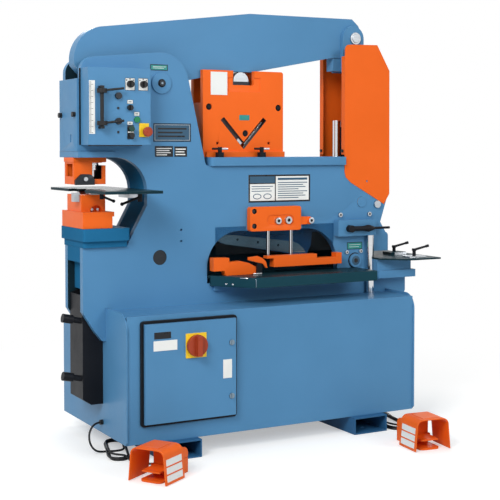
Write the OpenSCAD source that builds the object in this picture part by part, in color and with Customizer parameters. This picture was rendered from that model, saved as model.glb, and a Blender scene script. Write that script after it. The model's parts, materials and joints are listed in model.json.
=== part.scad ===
// Hydraulic ironworker: punch at the left end, angle shear under the swinging beam,
// flat-bar shear and notcher at the right, on a sheet-steel base with fork tubes.
// Millimetres, +Z up, the front faces -Y. The origin is the centre of the base on the floor.

/* [Base] */
// Length of the base cabinet, left to right
base_w = 1460; // [1452:1:1468]
// Depth of the base cabinet, front to rear
base_d = 758; // [754:1:762]
// Height of the base top, where the side plates stand through it
base_top = 610; // [606:1:614]
// Thickness of the base's sheet steel
sheet_t = 6; // [5:0.5:7]
// Height of the fork tubes
tube_h = 76; // [74:1:78]
// Width of each fork tube
tube_w = 178; // [170:1:186]
// Wall of the fork tubes
tube_wall = 6; // [5:0.5:8]

/* [Side plates] */
// Thickness of each side plate
plate_t = 32; // [30:1:34]
// Clear gap between the two side plates
plate_gap = 154; // [150:1:158]
// Radius of the main pivot pin
pivot_r = 40; // [38:1:42]

/* [Beam and main cylinder] */
// Thickness of the swinging beam
beam_t = 64; // [60:1:68]
// Outer radius of the main cylinder
barrel_r = 44; // [42:1:45]
// Radius of the main cylinder's rod
rod_r = 22; // [20:1:24]

/* [Punch station] */
// Length of the punch table, front to rear
punch_table_l = 670; // [650:5:690]
// Thickness of the three work tables
table_t = 12; // [10:1:14]
// Radius of the punch ram
punch_ram_r = 26; // [24:1:28]
// Radius of the hole in the die
die_hole_r = 11; // [9:1:13]

/* [Angle shear] */
// Thickness of the front and rear housing plates
angle_plate_t = 26; // [24:1:28]
// Width of the V slot, square to its arms
vee_w = 22; // [18:1:24]

/* [Flat-bar shear] */
// Thickness of the shear arm in the gap
arm_t = 64; // [60:1:68]
// Depth of the table's front skirt
skirt_h = 34; // [30:1:38]

/* [Notcher] */
// Radius of the notcher's support post
post_r = 18; // [16:1:19]

/* [Guard] */
// Thickness of the guard's sheet
guard_t = 3; // [2:0.5:4]

/* [Electrical enclosure] */
// Width of the enclosure door
door_w = 424; // [416:1:430]
// Height of the enclosure door
door_h = 417; // [410:1:424]

/* [Foot switches] */
// Width of the foot-switch hood
hood_w = 158; // [152:1:164]
// Length of the foot-switch hood
hood_l = 225; // [215:1:235]
// Height of the foot-switch hood
hood_h = 138; // [132:1:142]

/* [Hidden] */
$fn = 48;
// Running clearance of a pin or shaft in its bore
run_fit = 0.05;
// Gap between faces that slide past each other
slide_gap = 0.5;
// The mid plane of the side plates lies a little in front of the base's centre
frame_y = -41;
blue = "#5f8fb8";
orange = "#ee6416";
dark_steel = "#36443f";
black = "#1b1c1f";
steel = "#aab0b8";
white = "#eef0ee";
teal = "#2f9d95";
yellow = "#efd23c";
// Half gap and outer face of the side plates, measured from their mid plane
gap_h = plate_gap / 2;
face = gap_h + plate_t;
// Height of the side plates' feet below the base top
foot_z = -132;
// Main pivot, measured from the mid plane and the base top
pivot = [-468, 977];
pivot_cap_r = 46;
// Clevis pin of the main cylinder on the beam, and its lower pin in the side plates
clevis = [583, 1222];
lower_pin = [583, 437];
lower_pin_r = 25;
clevis_pin_r = 20;
// The clevis hole is wide, because the beam's arc is not followed exactly by the cylinder
clevis_hole_r = 24.8;
// Pivot of the shear arm
arm_pivot = [672, 424];
arm_pin_r = 18;
// Axis of the punch
punch_x = -745;
// Working heights above the base top
die_top = 518;
deck_z = 615;
deck_t = 39;
shear_table_z = 125;
notch_table_z = 170;
notch_table_t = table_t - 4;
// Drive rod from the angle ram to the shear arm
drive_x = 125;
drive_r = 12;
// Centre of the V of the angle shear, and the slope of its arms
vee = [-33, 706];
vee_a = 48;
// Door position on the front panel
door_x = -655;
door_z = 160;
panel_y = -base_d / 2 + 8;
// Depth of the enclosure's recessed box, which ends clear of the front side plate
enclosure_gap = 31;
enclosure_d = frame_y - face - enclosure_gap - panel_y;
// Length of a cord gland
gland_l = 14;
// Gap between the beam's sides and the housing of the angle shear
beam_side_gap = 3;
angle_in = beam_t / 2 + beam_side_gap;
angle_out = angle_in + angle_plate_t;

// ---- helpers -------------------------------------------------------------------------------

// Places geometry drawn from the side plates' mid plane and the base top
module in_frame() { translate([0, frame_y, base_top]) children(); }

// Box between two corners given as ranges
module block(x0, x1, y0, y1, z0, z1) { translate([x0, y0, z0]) cube([x1 - x0, y1 - y0, z1 - z0]); }

// Outline in the XZ plane, extruded from y0 to y1
module slab_xz(y0, y1) { translate([0, y1, 0]) rotate([90, 0, 0]) linear_extrude(y1 - y0) children(); }

// Outline in the YZ plane, extruded from x0 to x1
module slab_yz(x0, x1) { translate([x0, 0, 0]) rotate([90, 0, 90]) linear_extrude(x1 - x0) children(); }

// Cylinders along the three axes
module cyl_y(x, z, r, y0, y1) { translate([x, y1, z]) rotate([90, 0, 0]) cylinder(h = y1 - y0, r = r); }
module cyl_x(y, z, r, x0, x1) { translate([x0, y, z]) rotate([0, 90, 0]) cylinder(h = x1 - x0, r = r); }
module cyl_z(x, y, r, z0, z1) { translate([x, y, z0]) cylinder(h = z1 - z0, r = r); }

// Points of an arc, from angle a0 to a1
function arc(cx, cy, r, a0, a1, n = 10) =
    [for (i = [0:n]) [cx + r * cos(a0 + (a1 - a0) * i / n), cy + r * sin(a0 + (a1 - a0) * i / n)]];

// Rectangle with rounded corners, drawn from its lower left corner
module round_rect(w, h, r) {
    translate([r, 0]) square([w - 2 * r, h]);
    translate([0, r]) square([w, h - 2 * r]);
    for (x = [r, w - r], y = [r, h - r]) translate([x, y]) circle(r = r, $fn = 24);
}

// Hexagon head across flats, standing on its lower end
module hex_head(af, h) { cylinder(h = h, r = af / 2 / cos(30), $fn = 6); }

// Straight clamp lever: hub, sloping arm and ball, hub axis along Z
module clamp_lever(len, drop, hub_r, hub_h) {
    cylinder(h = hub_h, r = hub_r, $fn = 24);
    translate([0, 0, hub_h / 2]) rotate([0, 90 + drop, 0]) {
        cylinder(h = len, r = hub_r * 0.56, $fn = 16);
        translate([0, 0, len]) sphere(r = hub_r * 0.78, $fn = 20);
    }
}

// Elbow clamp lever: slim hub, and a handle that rises from the hub's top
module elbow_lever(len, rise, hub_r, hub_h) {
    cylinder(h = hub_h, r = hub_r * 0.75, $fn = 24);
    translate([0, 0, hub_h - hub_r]) cylinder(h = hub_r, r = hub_r, $fn = 24);
    translate([0, 0, hub_h - hub_r * 0.55]) rotate([0, 90 - rise, 0]) {
        cylinder(h = len, r1 = hub_r * 0.55, r2 = hub_r * 0.45, $fn = 16);
        translate([0, 0, len - 14]) cylinder(h = 14, r = hub_r * 0.62, $fn = 16);
    }
}

// ---- base ----------------------------------------------------------------------------------

// Notched outline of an end plate in the YZ plane
module end_plate_outline() {
    yf = -base_d / 2;
    lip = base_top + 12;
    low = base_top - 105;
    difference() {
        polygon(concat(
            [[yf + 14, tube_h], [yf, tube_h + 14]],
            arc(yf + 70, lip - 70, 70, 180, 90, 8),
            [[frame_y + face, lip], [frame_y + face, low], [-yf, low], [-yf, tube_h]]));
        for (s = [-1, 1]) {
            y0 = frame_y + (s < 0 ? -face : gap_h);
            translate([y0, base_top + foot_z]) square([plate_t, 200]);
        }
        translate([frame_y - gap_h - 1, base_top]) square([plate_gap + 2, 40]);
    }
}

// Section of the sheets between the end plates: front panel, top in front of the side plates,
// lower top behind them, rear panel and floor
module sheet_section() {
    hd = base_d / 2;
    low = base_top - 105;
    front_face = frame_y - face;
    rear_face = frame_y + face;
    translate([panel_y, tube_h]) square([sheet_t, base_top - tube_h]);
    translate([panel_y, base_top - sheet_t]) square([front_face - panel_y, sheet_t]);
    translate([rear_face, low - sheet_t]) square([sheet_t, base_top - low + sheet_t]);
    translate([rear_face, low - sheet_t]) square([hd - rear_face, sheet_t]);
    translate([hd - sheet_t, tube_h]) square([sheet_t, low - tube_h]);
    translate([panel_y, tube_h]) square([hd - panel_y, sheet_t]);
}

module base_cabinet() {
    hw = base_w / 2;
    hd = base_d / 2;
    // The sheets run this far into the end plates
    lap = sheet_t / 2;
    color(blue) {
        for (s = [-1, 1]) slab_yz(s < 0 ? -hw : hw - sheet_t, s < 0 ? -hw + sheet_t : hw) end_plate_outline();
        difference() {
            union() {
                slab_yz(-hw + sheet_t, hw - sheet_t) sheet_section();
                slab_yz(-hw + lap, hw - lap) intersection() {
                    sheet_section();
                    end_plate_outline();
                }
            }
            // Opening behind the enclosure, and cooling slots at the rear
            block(door_x + 16, door_x + door_w - 16, panel_y - 1, panel_y + sheet_t + 1,
                  door_z + 16, door_z + door_h - 16);
            for (i = [0:9]) block(-560 + i * 34, -548 + i * 34, hd - sheet_t - 1, hd + 1, 220, 400);
        }
        // Saddles that carry the side plates on the floor
        for (x = [-500, 476])
            block(x, x + 24, frame_y - face, frame_y + face, tube_h + lap, base_top + foot_z);
    }
    // Cord glands: in the left end plate and in the floor at the right
    color(black) {
        cyl_x(-111, 124, 11, -hw - gland_l, -hw + lap);
        cyl_z(640, -60, 11, tube_h - gland_l, tube_h + lap);
    }
}

// Centres of the two fork tubes
tube_x = [-489, 463];
// Anchor holes through the tubes' lower walls
anchor_x = 476;
anchor_y = 330;
anchor_r = 11;

module fork_tubes() {
    color("#4c7396") for (i = [0, 1]) difference() {
        block(tube_x[i] - tube_w / 2, tube_x[i] + tube_w / 2, -410, 410, 0, tube_h);
        block(tube_x[i] - tube_w / 2 + tube_wall, tube_x[i] + tube_w / 2 - tube_wall, -411, 411,
              tube_wall, tube_h - tube_wall);
        for (y = [-anchor_y, anchor_y])
            cyl_z((2 * i - 1) * anchor_x, y, anchor_r, -1, tube_wall + 1);
    }
}

// ---- side plates ---------------------------------------------------------------------------

throat = [-682, 509];
throat_r = 146;
throat_x = throat[0] + throat_r;

// Window of the flat-bar shear in the front plate, and the offcut slot under the table in the rear one
front_window = concat([[-245, 90], [-245, 160]], arc(-85, 160, 160, 180, 90, 10),
                      arc(275, 150, 170, 90, 0, 10), [[445, 90]]);
rear_window = concat([[-245, 50]], arc(-227, 88, 18, 180, 90, 4), arc(427, 88, 18, 90, 0, 4), [[445, 50]]);

// Outline of the side plates, from the mid plane's view: X right, Z up
module side_plate_outline(window) {
    difference() {
        polygon(concat(
            [[-728, foot_z], [-746, foot_z + 4], [-779, foot_z + 46], [-832, -2], [-832, 272], [-632, 272],
             [throat_x, 448], [throat_x, throat[1]]],
            arc(throat[0], throat[1], throat_r, 8, 90, 10),
            [[-685, 655], [-685, 681], [-838, 681]],
            arc(-776, 1020, 62, 180, 94, 8),
            arc(pivot[0], pivot[1], 134, 94, 14, 10),
            arc(-234, 635, 20, 194, 270, 6),
            [[730, deck_z], [730, 450], [693, 338]],
            arc(719, 269, 20, 75, 0, 5),
            [[739, 198], [628, 198], [628, 72], [842, 72], [842, -2], [789, foot_z + 46],
             [756, foot_z + 4], [738, foot_z]]));
        polygon(window);
    }
}

// Bores that both side plates share
module side_plate_bores() {
    cyl_y(pivot[0], pivot[1], pivot_r, -face - 1, face + 1);
    cyl_y(lower_pin[0], lower_pin[1], lower_pin_r, -face - 1, face + 1);
    cyl_y(arm_pivot[0], arm_pivot[1], arm_pin_r, -face - 1, face + 1);
    cyl_y(-475, 217, 33, -face - 1, face + 1);
    for (z = [285, 335]) cyl_y(-372, z, 5, -face - 1, face + 1);
}

module front_side_plate() {
    color(blue) in_frame() difference() {
        slab_xz(-face, -gap_h) side_plate_outline(front_window);
        side_plate_bores();
        for (p = frame_screw_places) cyl_y(p[0], p[1], p[2] * 0.5, -face - 1, -face + 24);
    }
}

module rear_side_plate() {
    color(blue) in_frame() difference() {
        slab_xz(gap_h, face) side_plate_outline(rear_window);
        side_plate_bores();
    }
}

// Bent plate that closes the throat between the side plates, the left-hand webs and the die shelf
module throat_liner() {
    t = 14;
    color(blue) in_frame() {
        slab_xz(-gap_h, gap_h) polygon(concat(
            [[-632, 272], [throat_x, 448], [throat_x, throat[1]]],
            arc(throat[0], throat[1], throat_r, 8, 90, 10),
            [[-682, 655 + t]],
            arc(throat[0], throat[1], throat_r + t, 90, 0, 10),
            [[throat_x + t, 448 - 4], [-632 + t + 4, 272]]));
        block(-832, -820, -gap_h, gap_h, 208, 272);
        block(-800, -790, -gap_h, gap_h, 86, 272);
        // Shelf that carries the die block
        difference() {
            union() {
                translate([-833, -123, 272]) linear_extrude(28) round_rect(201, 246, 10);
                translate([-840, -141, 300]) linear_extrude(54) round_rect(212, 282, 12);
            }
            cyl_z(punch_x, 0, 24, 270, 360);
        }
    }
}

// Screw heads on the front side plate: x, z, head radius
frame_screw_places = [[460, 378, 11], [626, 378, 11], [497, 199, 9], [577, 201, 9]];

// Pins held by the side plates, with the screws and caps of the front plate
module frame_pins() {
    color(steel) in_frame() {
        cyl_y(pivot[0], pivot[1], pivot_r, -face, face);
        for (s = [-1, 1]) {
            y0 = s < 0 ? -face - 8 : face;
            cyl_y(pivot[0], pivot[1], pivot_cap_r, y0, y0 + 8);
            cyl_y(pivot[0], pivot[1], 13, s < 0 ? y0 - 7 : y0 + 8, s < 0 ? y0 : y0 + 15);
        }
        // Pins of the shear arm and of the main cylinder
        cyl_y(arm_pivot[0], arm_pivot[1], arm_pin_r, -face - 10, face + 10);
        cyl_y(lower_pin[0], lower_pin[1], lower_pin_r, -face - 4, face + 4);
        for (p = frame_screw_places) {
            cyl_y(p[0], p[1], p[2] * 0.5, -face - 0.01, -face + 24);
            cyl_y(p[0], p[1], p[2], -face - 9, -face);
        }
        // Round cap beside the notcher
        cyl_y(545, 158, 33, -face - 11, -face);
    }
    // Plug of the inspection bore
    color(dark_steel) in_frame() cyl_y(-475, 217, 33, -face + 4, -face + 16);
}

// Left cover plate of the head, its two knob screws, and the slab under the head
module punch_head() {
    color(blue) in_frame() {
        difference() {
            block(-854, -838, -face, face, 681, 988);
            block(-855, -848, -38, -24, 720, 752);
            for (y = [-84, 84]) cyl_x(y, 837, 6, -855, -838 + 1);
        }
        difference() {
            block(-852, -687, -117, 117, 655, 681);
            cyl_z(punch_x, 0, punch_ram_r + run_fit, 650, 690);
        }
    }
    color(black) in_frame() for (y = [-84, 84]) {
        cyl_x(y, 837, 6, -854, -838);
        cyl_x(y, 837, 11, -868, -854);
    }
}

module deck_plate() {
    color(blue) in_frame() difference() {
        union() {
            translate([-232, -126, deck_z]) linear_extrude(deck_t) {
                translate([18, 0]) square([698, 252]);
                translate([0, 18]) square([716, 216]);
                for (y = [18, 234]) translate([18, y]) circle(r = 18, $fn = 32);
            }
            block(484, 533, -104, 104, deck_z, deck_z + deck_t);
        }
        cyl_z(drive_x, 0, drive_r + 1.5, deck_z - 1, deck_z + deck_t + 1);
        block(vee[0] - 28, vee[0] + 28, -angle_in - 0.5, angle_in + 0.5, deck_z - 1, deck_z + deck_t + 1);
    }
    // Stop post under the beam's tip
    color(steel) in_frame() cyl_z(512, 0, 20.5, deck_z + deck_t, 828);
}

// ---- punch station -------------------------------------------------------------------------

module die_block() {
    color(orange) in_frame() difference() {
        union() {
            block(-838, -704, -128, 128, 354, 424);
            block(-704, -696, -128, 128, 404, 424);
            block(-829, -720, -86, 86, 424, 496);
        }
        cyl_z(punch_x, 0, 24, 350, 500);
        // Half-round relief for slugs in the front face
        intersection() {
            cyl_y(-761, 424, 27, -90, -60);
            block(-800, -720, -90, -60, 424, 470);
        }
    }
}

// Exchangeable die with its screws, and the fixed blade of the flat-bar shear
module lower_tooling() {
    color(steel) in_frame() {
        difference() {
            cyl_z(punch_x, 0, 29, 496, die_top);
            cyl_z(punch_x, 0, die_hole_r, 490, die_top + 1);
        }
        for (x = [-774, -748]) cyl_y(x, 433, 6, -68, -60);
        block(-236, 430, -gap_h, -arm_t / 2 - slide_gap, 60, shear_table_z - table_t);
    }
}

module punch_cylinder() {
    color("#47535c") in_frame() difference() {
        cyl_z(punch_x, 0, 70, 681, 930);
        cyl_z(punch_x, 0, punch_ram_r + run_fit, 680, 720);
        cyl_z(punch_x, 0, 50, 720, 905);
    }
}

punch_rest_z = 556;

module punch_ram() {
    color(steel) in_frame() {
        cyl_z(punch_x, 0, punch_ram_r, 640, 830);
        cyl_z(punch_x, 0, 49.5, 830, 862);
        // Coupling nut, grooved
        difference() {
            cyl_z(punch_x, 0, 27, 600, 640);
            for (z = [607, 617, 627]) difference() {
                cyl_z(punch_x, 0, 29, z, z + 3);
                cyl_z(punch_x, 0, 25, z - 1, z + 4);
            }
        }
        // Punch with its shoulder
        cyl_z(punch_x, 0, 15, 572, 600);
        cyl_z(punch_x, 0, die_hole_r - 0.6, punch_rest_z, 572);
    }
}

module stripper() {
    color(orange) in_frame() difference() {
        union() {
            block(-853, -704, -60, 60, 636, 655);
            block(-850, -707, -58, 58, 540, 636);
        }
        // Cavity for the coupling, and the windows at the front, left and right
        block(-840, -717, -44, 44, 552, 637);
        block(-768, -722, -60, -40, 562, 632);
        block(-860, -838, -40, 40, 574, 628);
        block(-723, -700, -60, 60, 621, 634);
        cyl_z(punch_x, 0, 17, 530, 560);
        cyl_z(punch_x, 0, 40, 630, 660);
    }
    // Dark clamping foot on the front face, with its screw
    color(dark_steel) in_frame() {
        slab_xz(-72, -57.5) polygon(concat([[-848, 538], [-762, 538], [-762, 560]],
                                         arc(-788, 562, 22, 20, 90, 5), [[-822, 584]], [[-848, 560]]));
        color(steel) cyl_y(-803, 563, 9, -78, -71);
    }
}

// Table plate with its notch round the die, seated on pads and a bracket on the throat
module punch_table() {
    z0 = die_top - table_t;
    hl = punch_table_l / 2;
    color(dark_steel) in_frame() difference() {
        block(-818, -561, -hl, hl, z0, die_top);
        block(-820, -790, -100, 100, z0 - 1, die_top + 1);
        block(-800, punch_x, -38, 38, z0 - 1, die_top + 1);
        cyl_z(punch_x, 0, 38, z0 - 1, die_top + 1);
    }
    color(steel) in_frame() {
        for (y = [-84, 60]) block(-785, -713, y, y + 24, 496, z0);
        block(-600, throat_x, -60, 60, 478, z0);
        // Gauge bracket beside the die block
        block(-857, -829, -74, -42, 467, z0);
    }
}

// Clamp levers under the punch table, each turning on a vertical stud
table_lever_left = [-765, -159];
table_lever_right = [-590, -159];

module table_lever_left() {
    color(black) in_frame() translate([table_lever_left[0], table_lever_left[1], 480])
        clamp_lever(58, 22, 9, die_top - table_t - 480 - 0.3);
}

module table_lever_right() {
    color(black) in_frame() translate([table_lever_right[0], table_lever_right[1], 466])
        rotate([0, 0, 180]) clamp_lever(88, 19, 10, die_top - table_t - 466 - 0.3);
}

// ---- angle shear ---------------------------------------------------------------------------

// Band of the V slot: two arms that rise from the vertex
module vee_band(w, len) {
    for (s = [-1, 1]) translate([vee[0], vee[1]]) rotate(s * (90 - vee_a))
        translate([-w / 2, -w / 2]) square([w, len]);
}

module angle_shear_housing() {
    z0 = deck_z + deck_t;
    y_in = angle_in;
    y_out = angle_out;
    color(orange) in_frame() {
        // Front plate with its plunger cutout, shallow recess and V slot
        difference() {
            union() {
                slab_xz(-y_out, -y_in) translate([-241, z0]) union() {
                    square([416, 381]);
                    square([404, 393]);
                    translate([404, 381]) circle(r = 12, $fn = 32);
                }
                block(-228, 177, -y_out - 12, -y_out, z0, z0 + 25);
            }
            block(-87, 22, -y_out - 1, -y_in + 1, 982, 1060);
            block(-113, 53, -y_out - 1, -y_out + 4, 952, 1015);
            slab_xz(-y_out - 1, -y_in + 1) vee_band(vee_w, 176);
            cyl_y(-24, 762, 15, -y_out - 1, -y_out + 6);
            for (x = [-210, 150]) cyl_y(x, 881, 15, -y_out - 1, -y_out + 8);
            for (x = [-167, 99]) cyl_y(x, 717, 7, -y_out - 1, -y_out + 12);
        }
        // Rear plate
        difference() {
            slab_xz(y_in, y_out) translate([-241, z0]) square([416, 393]);
            slab_xz(y_in - 1, y_out + 1) vee_band(vee_w, 176);
            block(-87, 22, y_in - 1, y_out + 1, 982, 1060);
        }
        // Side spacers
        block(-241, -218, -y_in, y_in, z0, 900);
        block(152, 175, -y_in, y_in, z0, 900);
    }
    color(steel) in_frame() for (x = [-210, 150]) cyl_y(x, 881, 9, -y_out + 1, -y_out + 8);
}

// Moving blade holder: V below, plunger and round head above, and the drive rod to the shear arm
module angle_ram() {
    t = angle_in - slide_gap;
    v0 = vee[1] + vee_w / 2 / cos(vee_a) + 8;
    reach = 120;
    rise = reach * tan(vee_a);
    color("#3a3f44") in_frame() {
        slab_xz(-t, t) polygon([
            [vee[0], v0], [vee[0] + reach, v0 + rise], [146, v0 + rise], [146, 975], [vee[0] + 45, 975],
            [vee[0] + 45, 1000], [vee[0] - 45, 1000], [vee[0] - 45, 975], [vee[0] - reach, 975],
            [vee[0] - reach, v0 + rise]]);
    }
    color(steel) in_frame() {
        cyl_y(vee[0], 1003, 39, -t, t);
        cyl_z(drive_x, 0, drive_r, shear_arm_top + 1 + drive_r, v0 + rise);
        translate([drive_x, 0, shear_arm_top + 1 + drive_r]) sphere(r = drive_r, $fn = 24);
    }
}

// Two clamp blocks on the deck in front of the angle shear, each with a cross-handled screw
clamp_x = [-178, 37];
clamp_y = -angle_out - 44;

module clamp_blocks() {
    z0 = deck_z + deck_t;
    color(black) in_frame() for (x = clamp_x) difference() {
        block(x - 14, x + 14, clamp_y - 13, clamp_y + 17, z0, z0 + 22);
        cyl_z(x, clamp_y, 6 + run_fit, z0 + 4, z0 + 23);
    }
}

module clamp_screw(x) {
    z0 = deck_z + deck_t;
    color(black) in_frame() {
        cyl_z(x, clamp_y, 6, z0 + 4.3, z0 + 22.3);
        cyl_z(x, clamp_y, 10, z0 + 22.3, z0 + 46);
        cyl_x(clamp_y, z0 + 38, 5, x - 38, x + 38);
    }
}

module clamp_screw_left() { clamp_screw(clamp_x[0]); }
module clamp_screw_right() { clamp_screw(clamp_x[1]); }

// ---- beam, main cylinder, guard ------------------------------------------------------------

beam_stop_z = 1064;
lip_z = 1044;
ear_t = 18;
notch_r = 44;

module swing_beam() {
    h = beam_t / 2;
    color(blue) in_frame() {
        difference() {
            union() {
                slab_xz(-h, h) polygon(concat(
                    arc(-692, 1074, 146, 190, 93, 24),
                    [[15, 1312], [577, 1316], [613, 1285], [633, 1248], [633, 1238]],
                    arc(clevis[0], clevis[1], notch_r, 15, 180, 9),
                    [[clevis[0] - notch_r, 1126], [463, 1126], [47, lip_z + 4], [47, lip_z], [-98, lip_z],
                     [-98, lip_z - 1], [-310, 996], [-340, 930]],
                    arc(pivot[0], pivot[1], 118, -25, -150, 10),
                    [[-640, 960], [-800, 1010]]));
                // Ears of the clevis on both faces
                for (s = [-1, 1]) slab_xz(s < 0 ? -h - ear_t : h, s < 0 ? -h : h + ear_t) {
                    translate([513, 1060]) square([120, 162]);
                    translate([clevis[0] - 10, clevis[1]]) circle(r = 60);
                }
            }
            cyl_y(pivot[0], pivot[1], pivot_r + run_fit, -h - 1, h + 1);
            cyl_y(clevis[0], clevis[1], clevis_pin_r, -h - 30, h + 30);
        }
        // Stop block under the beam tip
        block(470, 530, -28, 28, beam_stop_z, 1126);
    }
    // Spacer washers on the pivot pin, either side of the beam
    color(steel) in_frame() for (s = [-1, 1]) difference() {
        cyl_y(pivot[0], pivot[1], 70, s < 0 ? -gap_h + slide_gap : h, s < 0 ? -h : gap_h - slide_gap);
        cyl_y(pivot[0], pivot[1], pivot_r + run_fit, -gap_h, gap_h);
    }
}

// Pin through the beam's ears, with its head washers
module clevis_pin() {
    h = beam_t / 2 + ear_t;
    color(steel) in_frame() {
        cyl_y(clevis[0], clevis[1], clevis_pin_r, -h - 10, h + 10);
        for (s = [-1, 1]) cyl_y(clevis[0], clevis[1], 29, s < 0 ? -h - 7 : h, s < 0 ? -h : h + 7);
    }
}

// Main cylinder: top of the barrel and the piston's place at rest, measured from its lower pin
barrel_top = 360;
piston_z = 293;
piston_t = 30;

module main_cylinder_barrel() {
    z = lower_pin[1];
    color("#3d4a55") in_frame() difference() {
        union() {
            cyl_z(lower_pin[0], 0, barrel_r, z + 30, z + barrel_top);
            cyl_y(lower_pin[0], z, barrel_r, -30, 30);
        }
        cyl_y(lower_pin[0], z, lower_pin_r + run_fit, -31, 31);
        cyl_z(lower_pin[0], 0, barrel_r - 8, z + 50, z + barrel_top - 25);
        cyl_z(lower_pin[0], 0, rod_r + run_fit, z + barrel_top - 26, z + barrel_top + 1);
    }
}

module main_cylinder_rod() {
    z = clevis[1];
    zp = lower_pin[1] + piston_z;
    color(steel) in_frame() {
        difference() {
            union() {
                cyl_z(clevis[0], 0, rod_r, zp + piston_t, z - 20);
                cyl_y(clevis[0], z, 37, -22, 22);
            }
            cyl_y(clevis[0], z, clevis_hole_r, -23, 23);
        }
        cyl_z(clevis[0], 0, barrel_r - 8 - run_fit, zp, zp + piston_t);
    }
}

// Outline of the guard's front and rear panels
function guard_points() = concat(
    [[485, 581]],
    arc(511, 1160, 26, 180, 90, 5),
    [[670, 1190], [742, 1068], [744, 473], [712, 424], [521, 530], [492, 556]]);

module ram_guard() {
    y = face + guard_t;
    color(orange) in_frame() {
        for (s = [-1, 1]) {
            slab_xz(s < 0 ? -y : face, s < 0 ? -face : y) difference() {
                polygon(guard_points());
                translate([613, 536]) circle(r = 5);
            }
            block(485, 485 + guard_t, s < 0 ? -face : face - 27, s < 0 ? -face + 27 : face, 664, 1130);
        }
        // Right-hand side, bent over the panels
        slab_xz(-face, face) polygon([
            [658, 1190], [670, 1190], [742, 1068], [744, 473], [740, 466], [740 - guard_t, 468],
            [744 - guard_t, 474], [742 - guard_t, 1067], [670 - 0.6 * guard_t, 1190 - guard_t],
            [658, 1190 - guard_t]]);
    }
    color(black) in_frame() for (s = [-1, 1]) cyl_x(s * (face - 14), 682, 7, 478, 485);
}

// ---- flat-bar shear ------------------------------------------------------------------------

shear_arm_top = 385;

module shear_arm() {
    h = arm_t / 2;
    color("#8d9498") in_frame() difference() {
        slab_xz(-h, h) union() {
            polygon([
                [-215, shear_arm_top], [600, shear_arm_top], [650, 455], [700, 390], [600, 296],
                [352, 296], [346, 236], [318, 183], [-141, 262], [-150, 318], [-215, 318]]);
            translate(arm_pivot) circle(r = 44);
        }
        cyl_y(arm_pivot[0], arm_pivot[1], arm_pin_r + run_fit, -h - 1, h + 1);
        for (p = [[-49, 276], [56, 258], [160, 242]]) cyl_y(p[0], p[1], 5, -h - 1, -h + 14);
    }
    // Side washers on the arm pin
    color(steel) in_frame() for (s = [-1, 1]) difference() {
        cyl_y(arm_pivot[0], arm_pivot[1], 34, s < 0 ? -gap_h + slide_gap : h, s < 0 ? -h : gap_h - slide_gap);
        cyl_y(arm_pivot[0], arm_pivot[1], arm_pin_r + run_fit, -gap_h, gap_h);
    }
}

shear_table_front = -294;
table_left = -232;

module shear_table() {
    z1 = shear_table_z;
    z0 = z1 - table_t;
    yf = shear_table_front;
    color(dark_steel) in_frame() {
        difference() {
            translate([0, 0, z0]) linear_extrude(table_t) union() {
                polygon([[-97, yf], [548, yf], [548, -face], [table_left, -face], [table_left, -face - 12]]);
                translate([-157, -face]) square([590, face - arm_t / 2 - slide_gap]);
            }
            block(100, 400, yf + 60, yf + 72, z1 - 3, z1 + 1);
        }
        block(-97, 548, yf, yf + 10, z0 - skirt_h, z0);
        // Skirt along the slanting left edge
        translate([0, 0, z0 - skirt_h]) linear_extrude(skirt_h) polygon([
            [-97, yf], [table_left, -face - 12], [table_left, -face], [table_left + 12, -face],
            [table_left + 12, -face - 10], [-92, yf + 10]]);
    }
    // Brackets that carry the table from the front side plate
    color(blue) in_frame() {
        block(-216, -124, -face - 12, -face, 56, z0);
        block(-186, -174, -face - 50, -face - 12, 82, z0);
        block(-150, -138, -face - 90, -face - 12, 82, z0);
        block(470, 482, -face - 150, -face, 82, z0);
    }
}

// Orange block that carries the hold-down screws, on the front side plate
module hold_down_bridge() {
    yf = -face - 30;
    color(orange) in_frame() difference() {
        union() {
            slab_xz(yf, -face) translate([-42, 317]) round_rect(269, 111, 12);
            block(215, 262, -face - 24, -face, 341, 377);
            cyl_y(274, 359, 18, -face - 24, -face);
        }
        for (z = [341, 408]) cyl_y(-20, z, 12, yf - 1, yf + 14);
        slab_xz(yf - 1, yf + 4) translate([47, 344]) round_rect(140, 45, 22);
        for (x = stud_x) cyl_z(x, stud_y, stud_r + 0.3, 300, 440);
    }
    // Socket screws: in the two holes, in the slot and at the right end
    color(steel) in_frame() {
        for (z = [341, 408]) cyl_y(-20, z, 9, yf + 7, yf + 15);
        for (s = [[103, 362, 15], [157, 364, 17], [279, 359, 14]]) difference() {
            cyl_y(s[0], s[1], s[2], yf - 9, yf + 7);
            translate([s[0], yf - 3, s[1]]) rotate([90, 0, 0]) hex_head(s[2] * 0.9, 10);
        }
    }
}

stud_x = [59, 180];
stud_y = -124;
stud_r = 8;

// Hold-down bar with its two studs, sliding in the bridge
module hold_down_bar() {
    color(orange) in_frame() difference() {
        union() {
            block(72, 440, -157, -117, 152, 204);
            block(38, 73, -157, -117, 192, 204);
        }
        block(302, 408, -158, -116, 184, 205);
    }
    color(steel) in_frame() for (x = stud_x) cyl_z(x, stud_y, stud_r, 200, 402);
}

// Work guides lying on the shear table
module shear_guides() {
    z0 = shear_table_z;
    color(orange) in_frame() {
        slab_xz(-156, -117) polygon([[-236, 147], [-236, 207], [-158, 205], [-156, 185], [-96, 187],
                                     [-57, 177], [-19, 158], [-19, z0], [-175, z0], [-181, 147]]);
        // Bent clamping lever over the stop
        slab_xz(-170, -158.5) polygon([[-67, 191], [-67, 204], [-20, 208], [5, 198], [23, 182], [32, 152],
                                       [22, 152], [8, 171], [-25, 180]]);
    }
    color(black) in_frame() block(-22, 4, -169, -121, z0, 175);
}

module window_shield() {
    color([0.75, 0.85, 0.92, 0.4]) in_frame() difference() {
        block(-204, 420, -face - 5, -face, 214, 340);
        block(-52, 252, -face - 6, -face + 1, 300, 341);
    }
}

// ---- notcher -------------------------------------------------------------------------------

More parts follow.
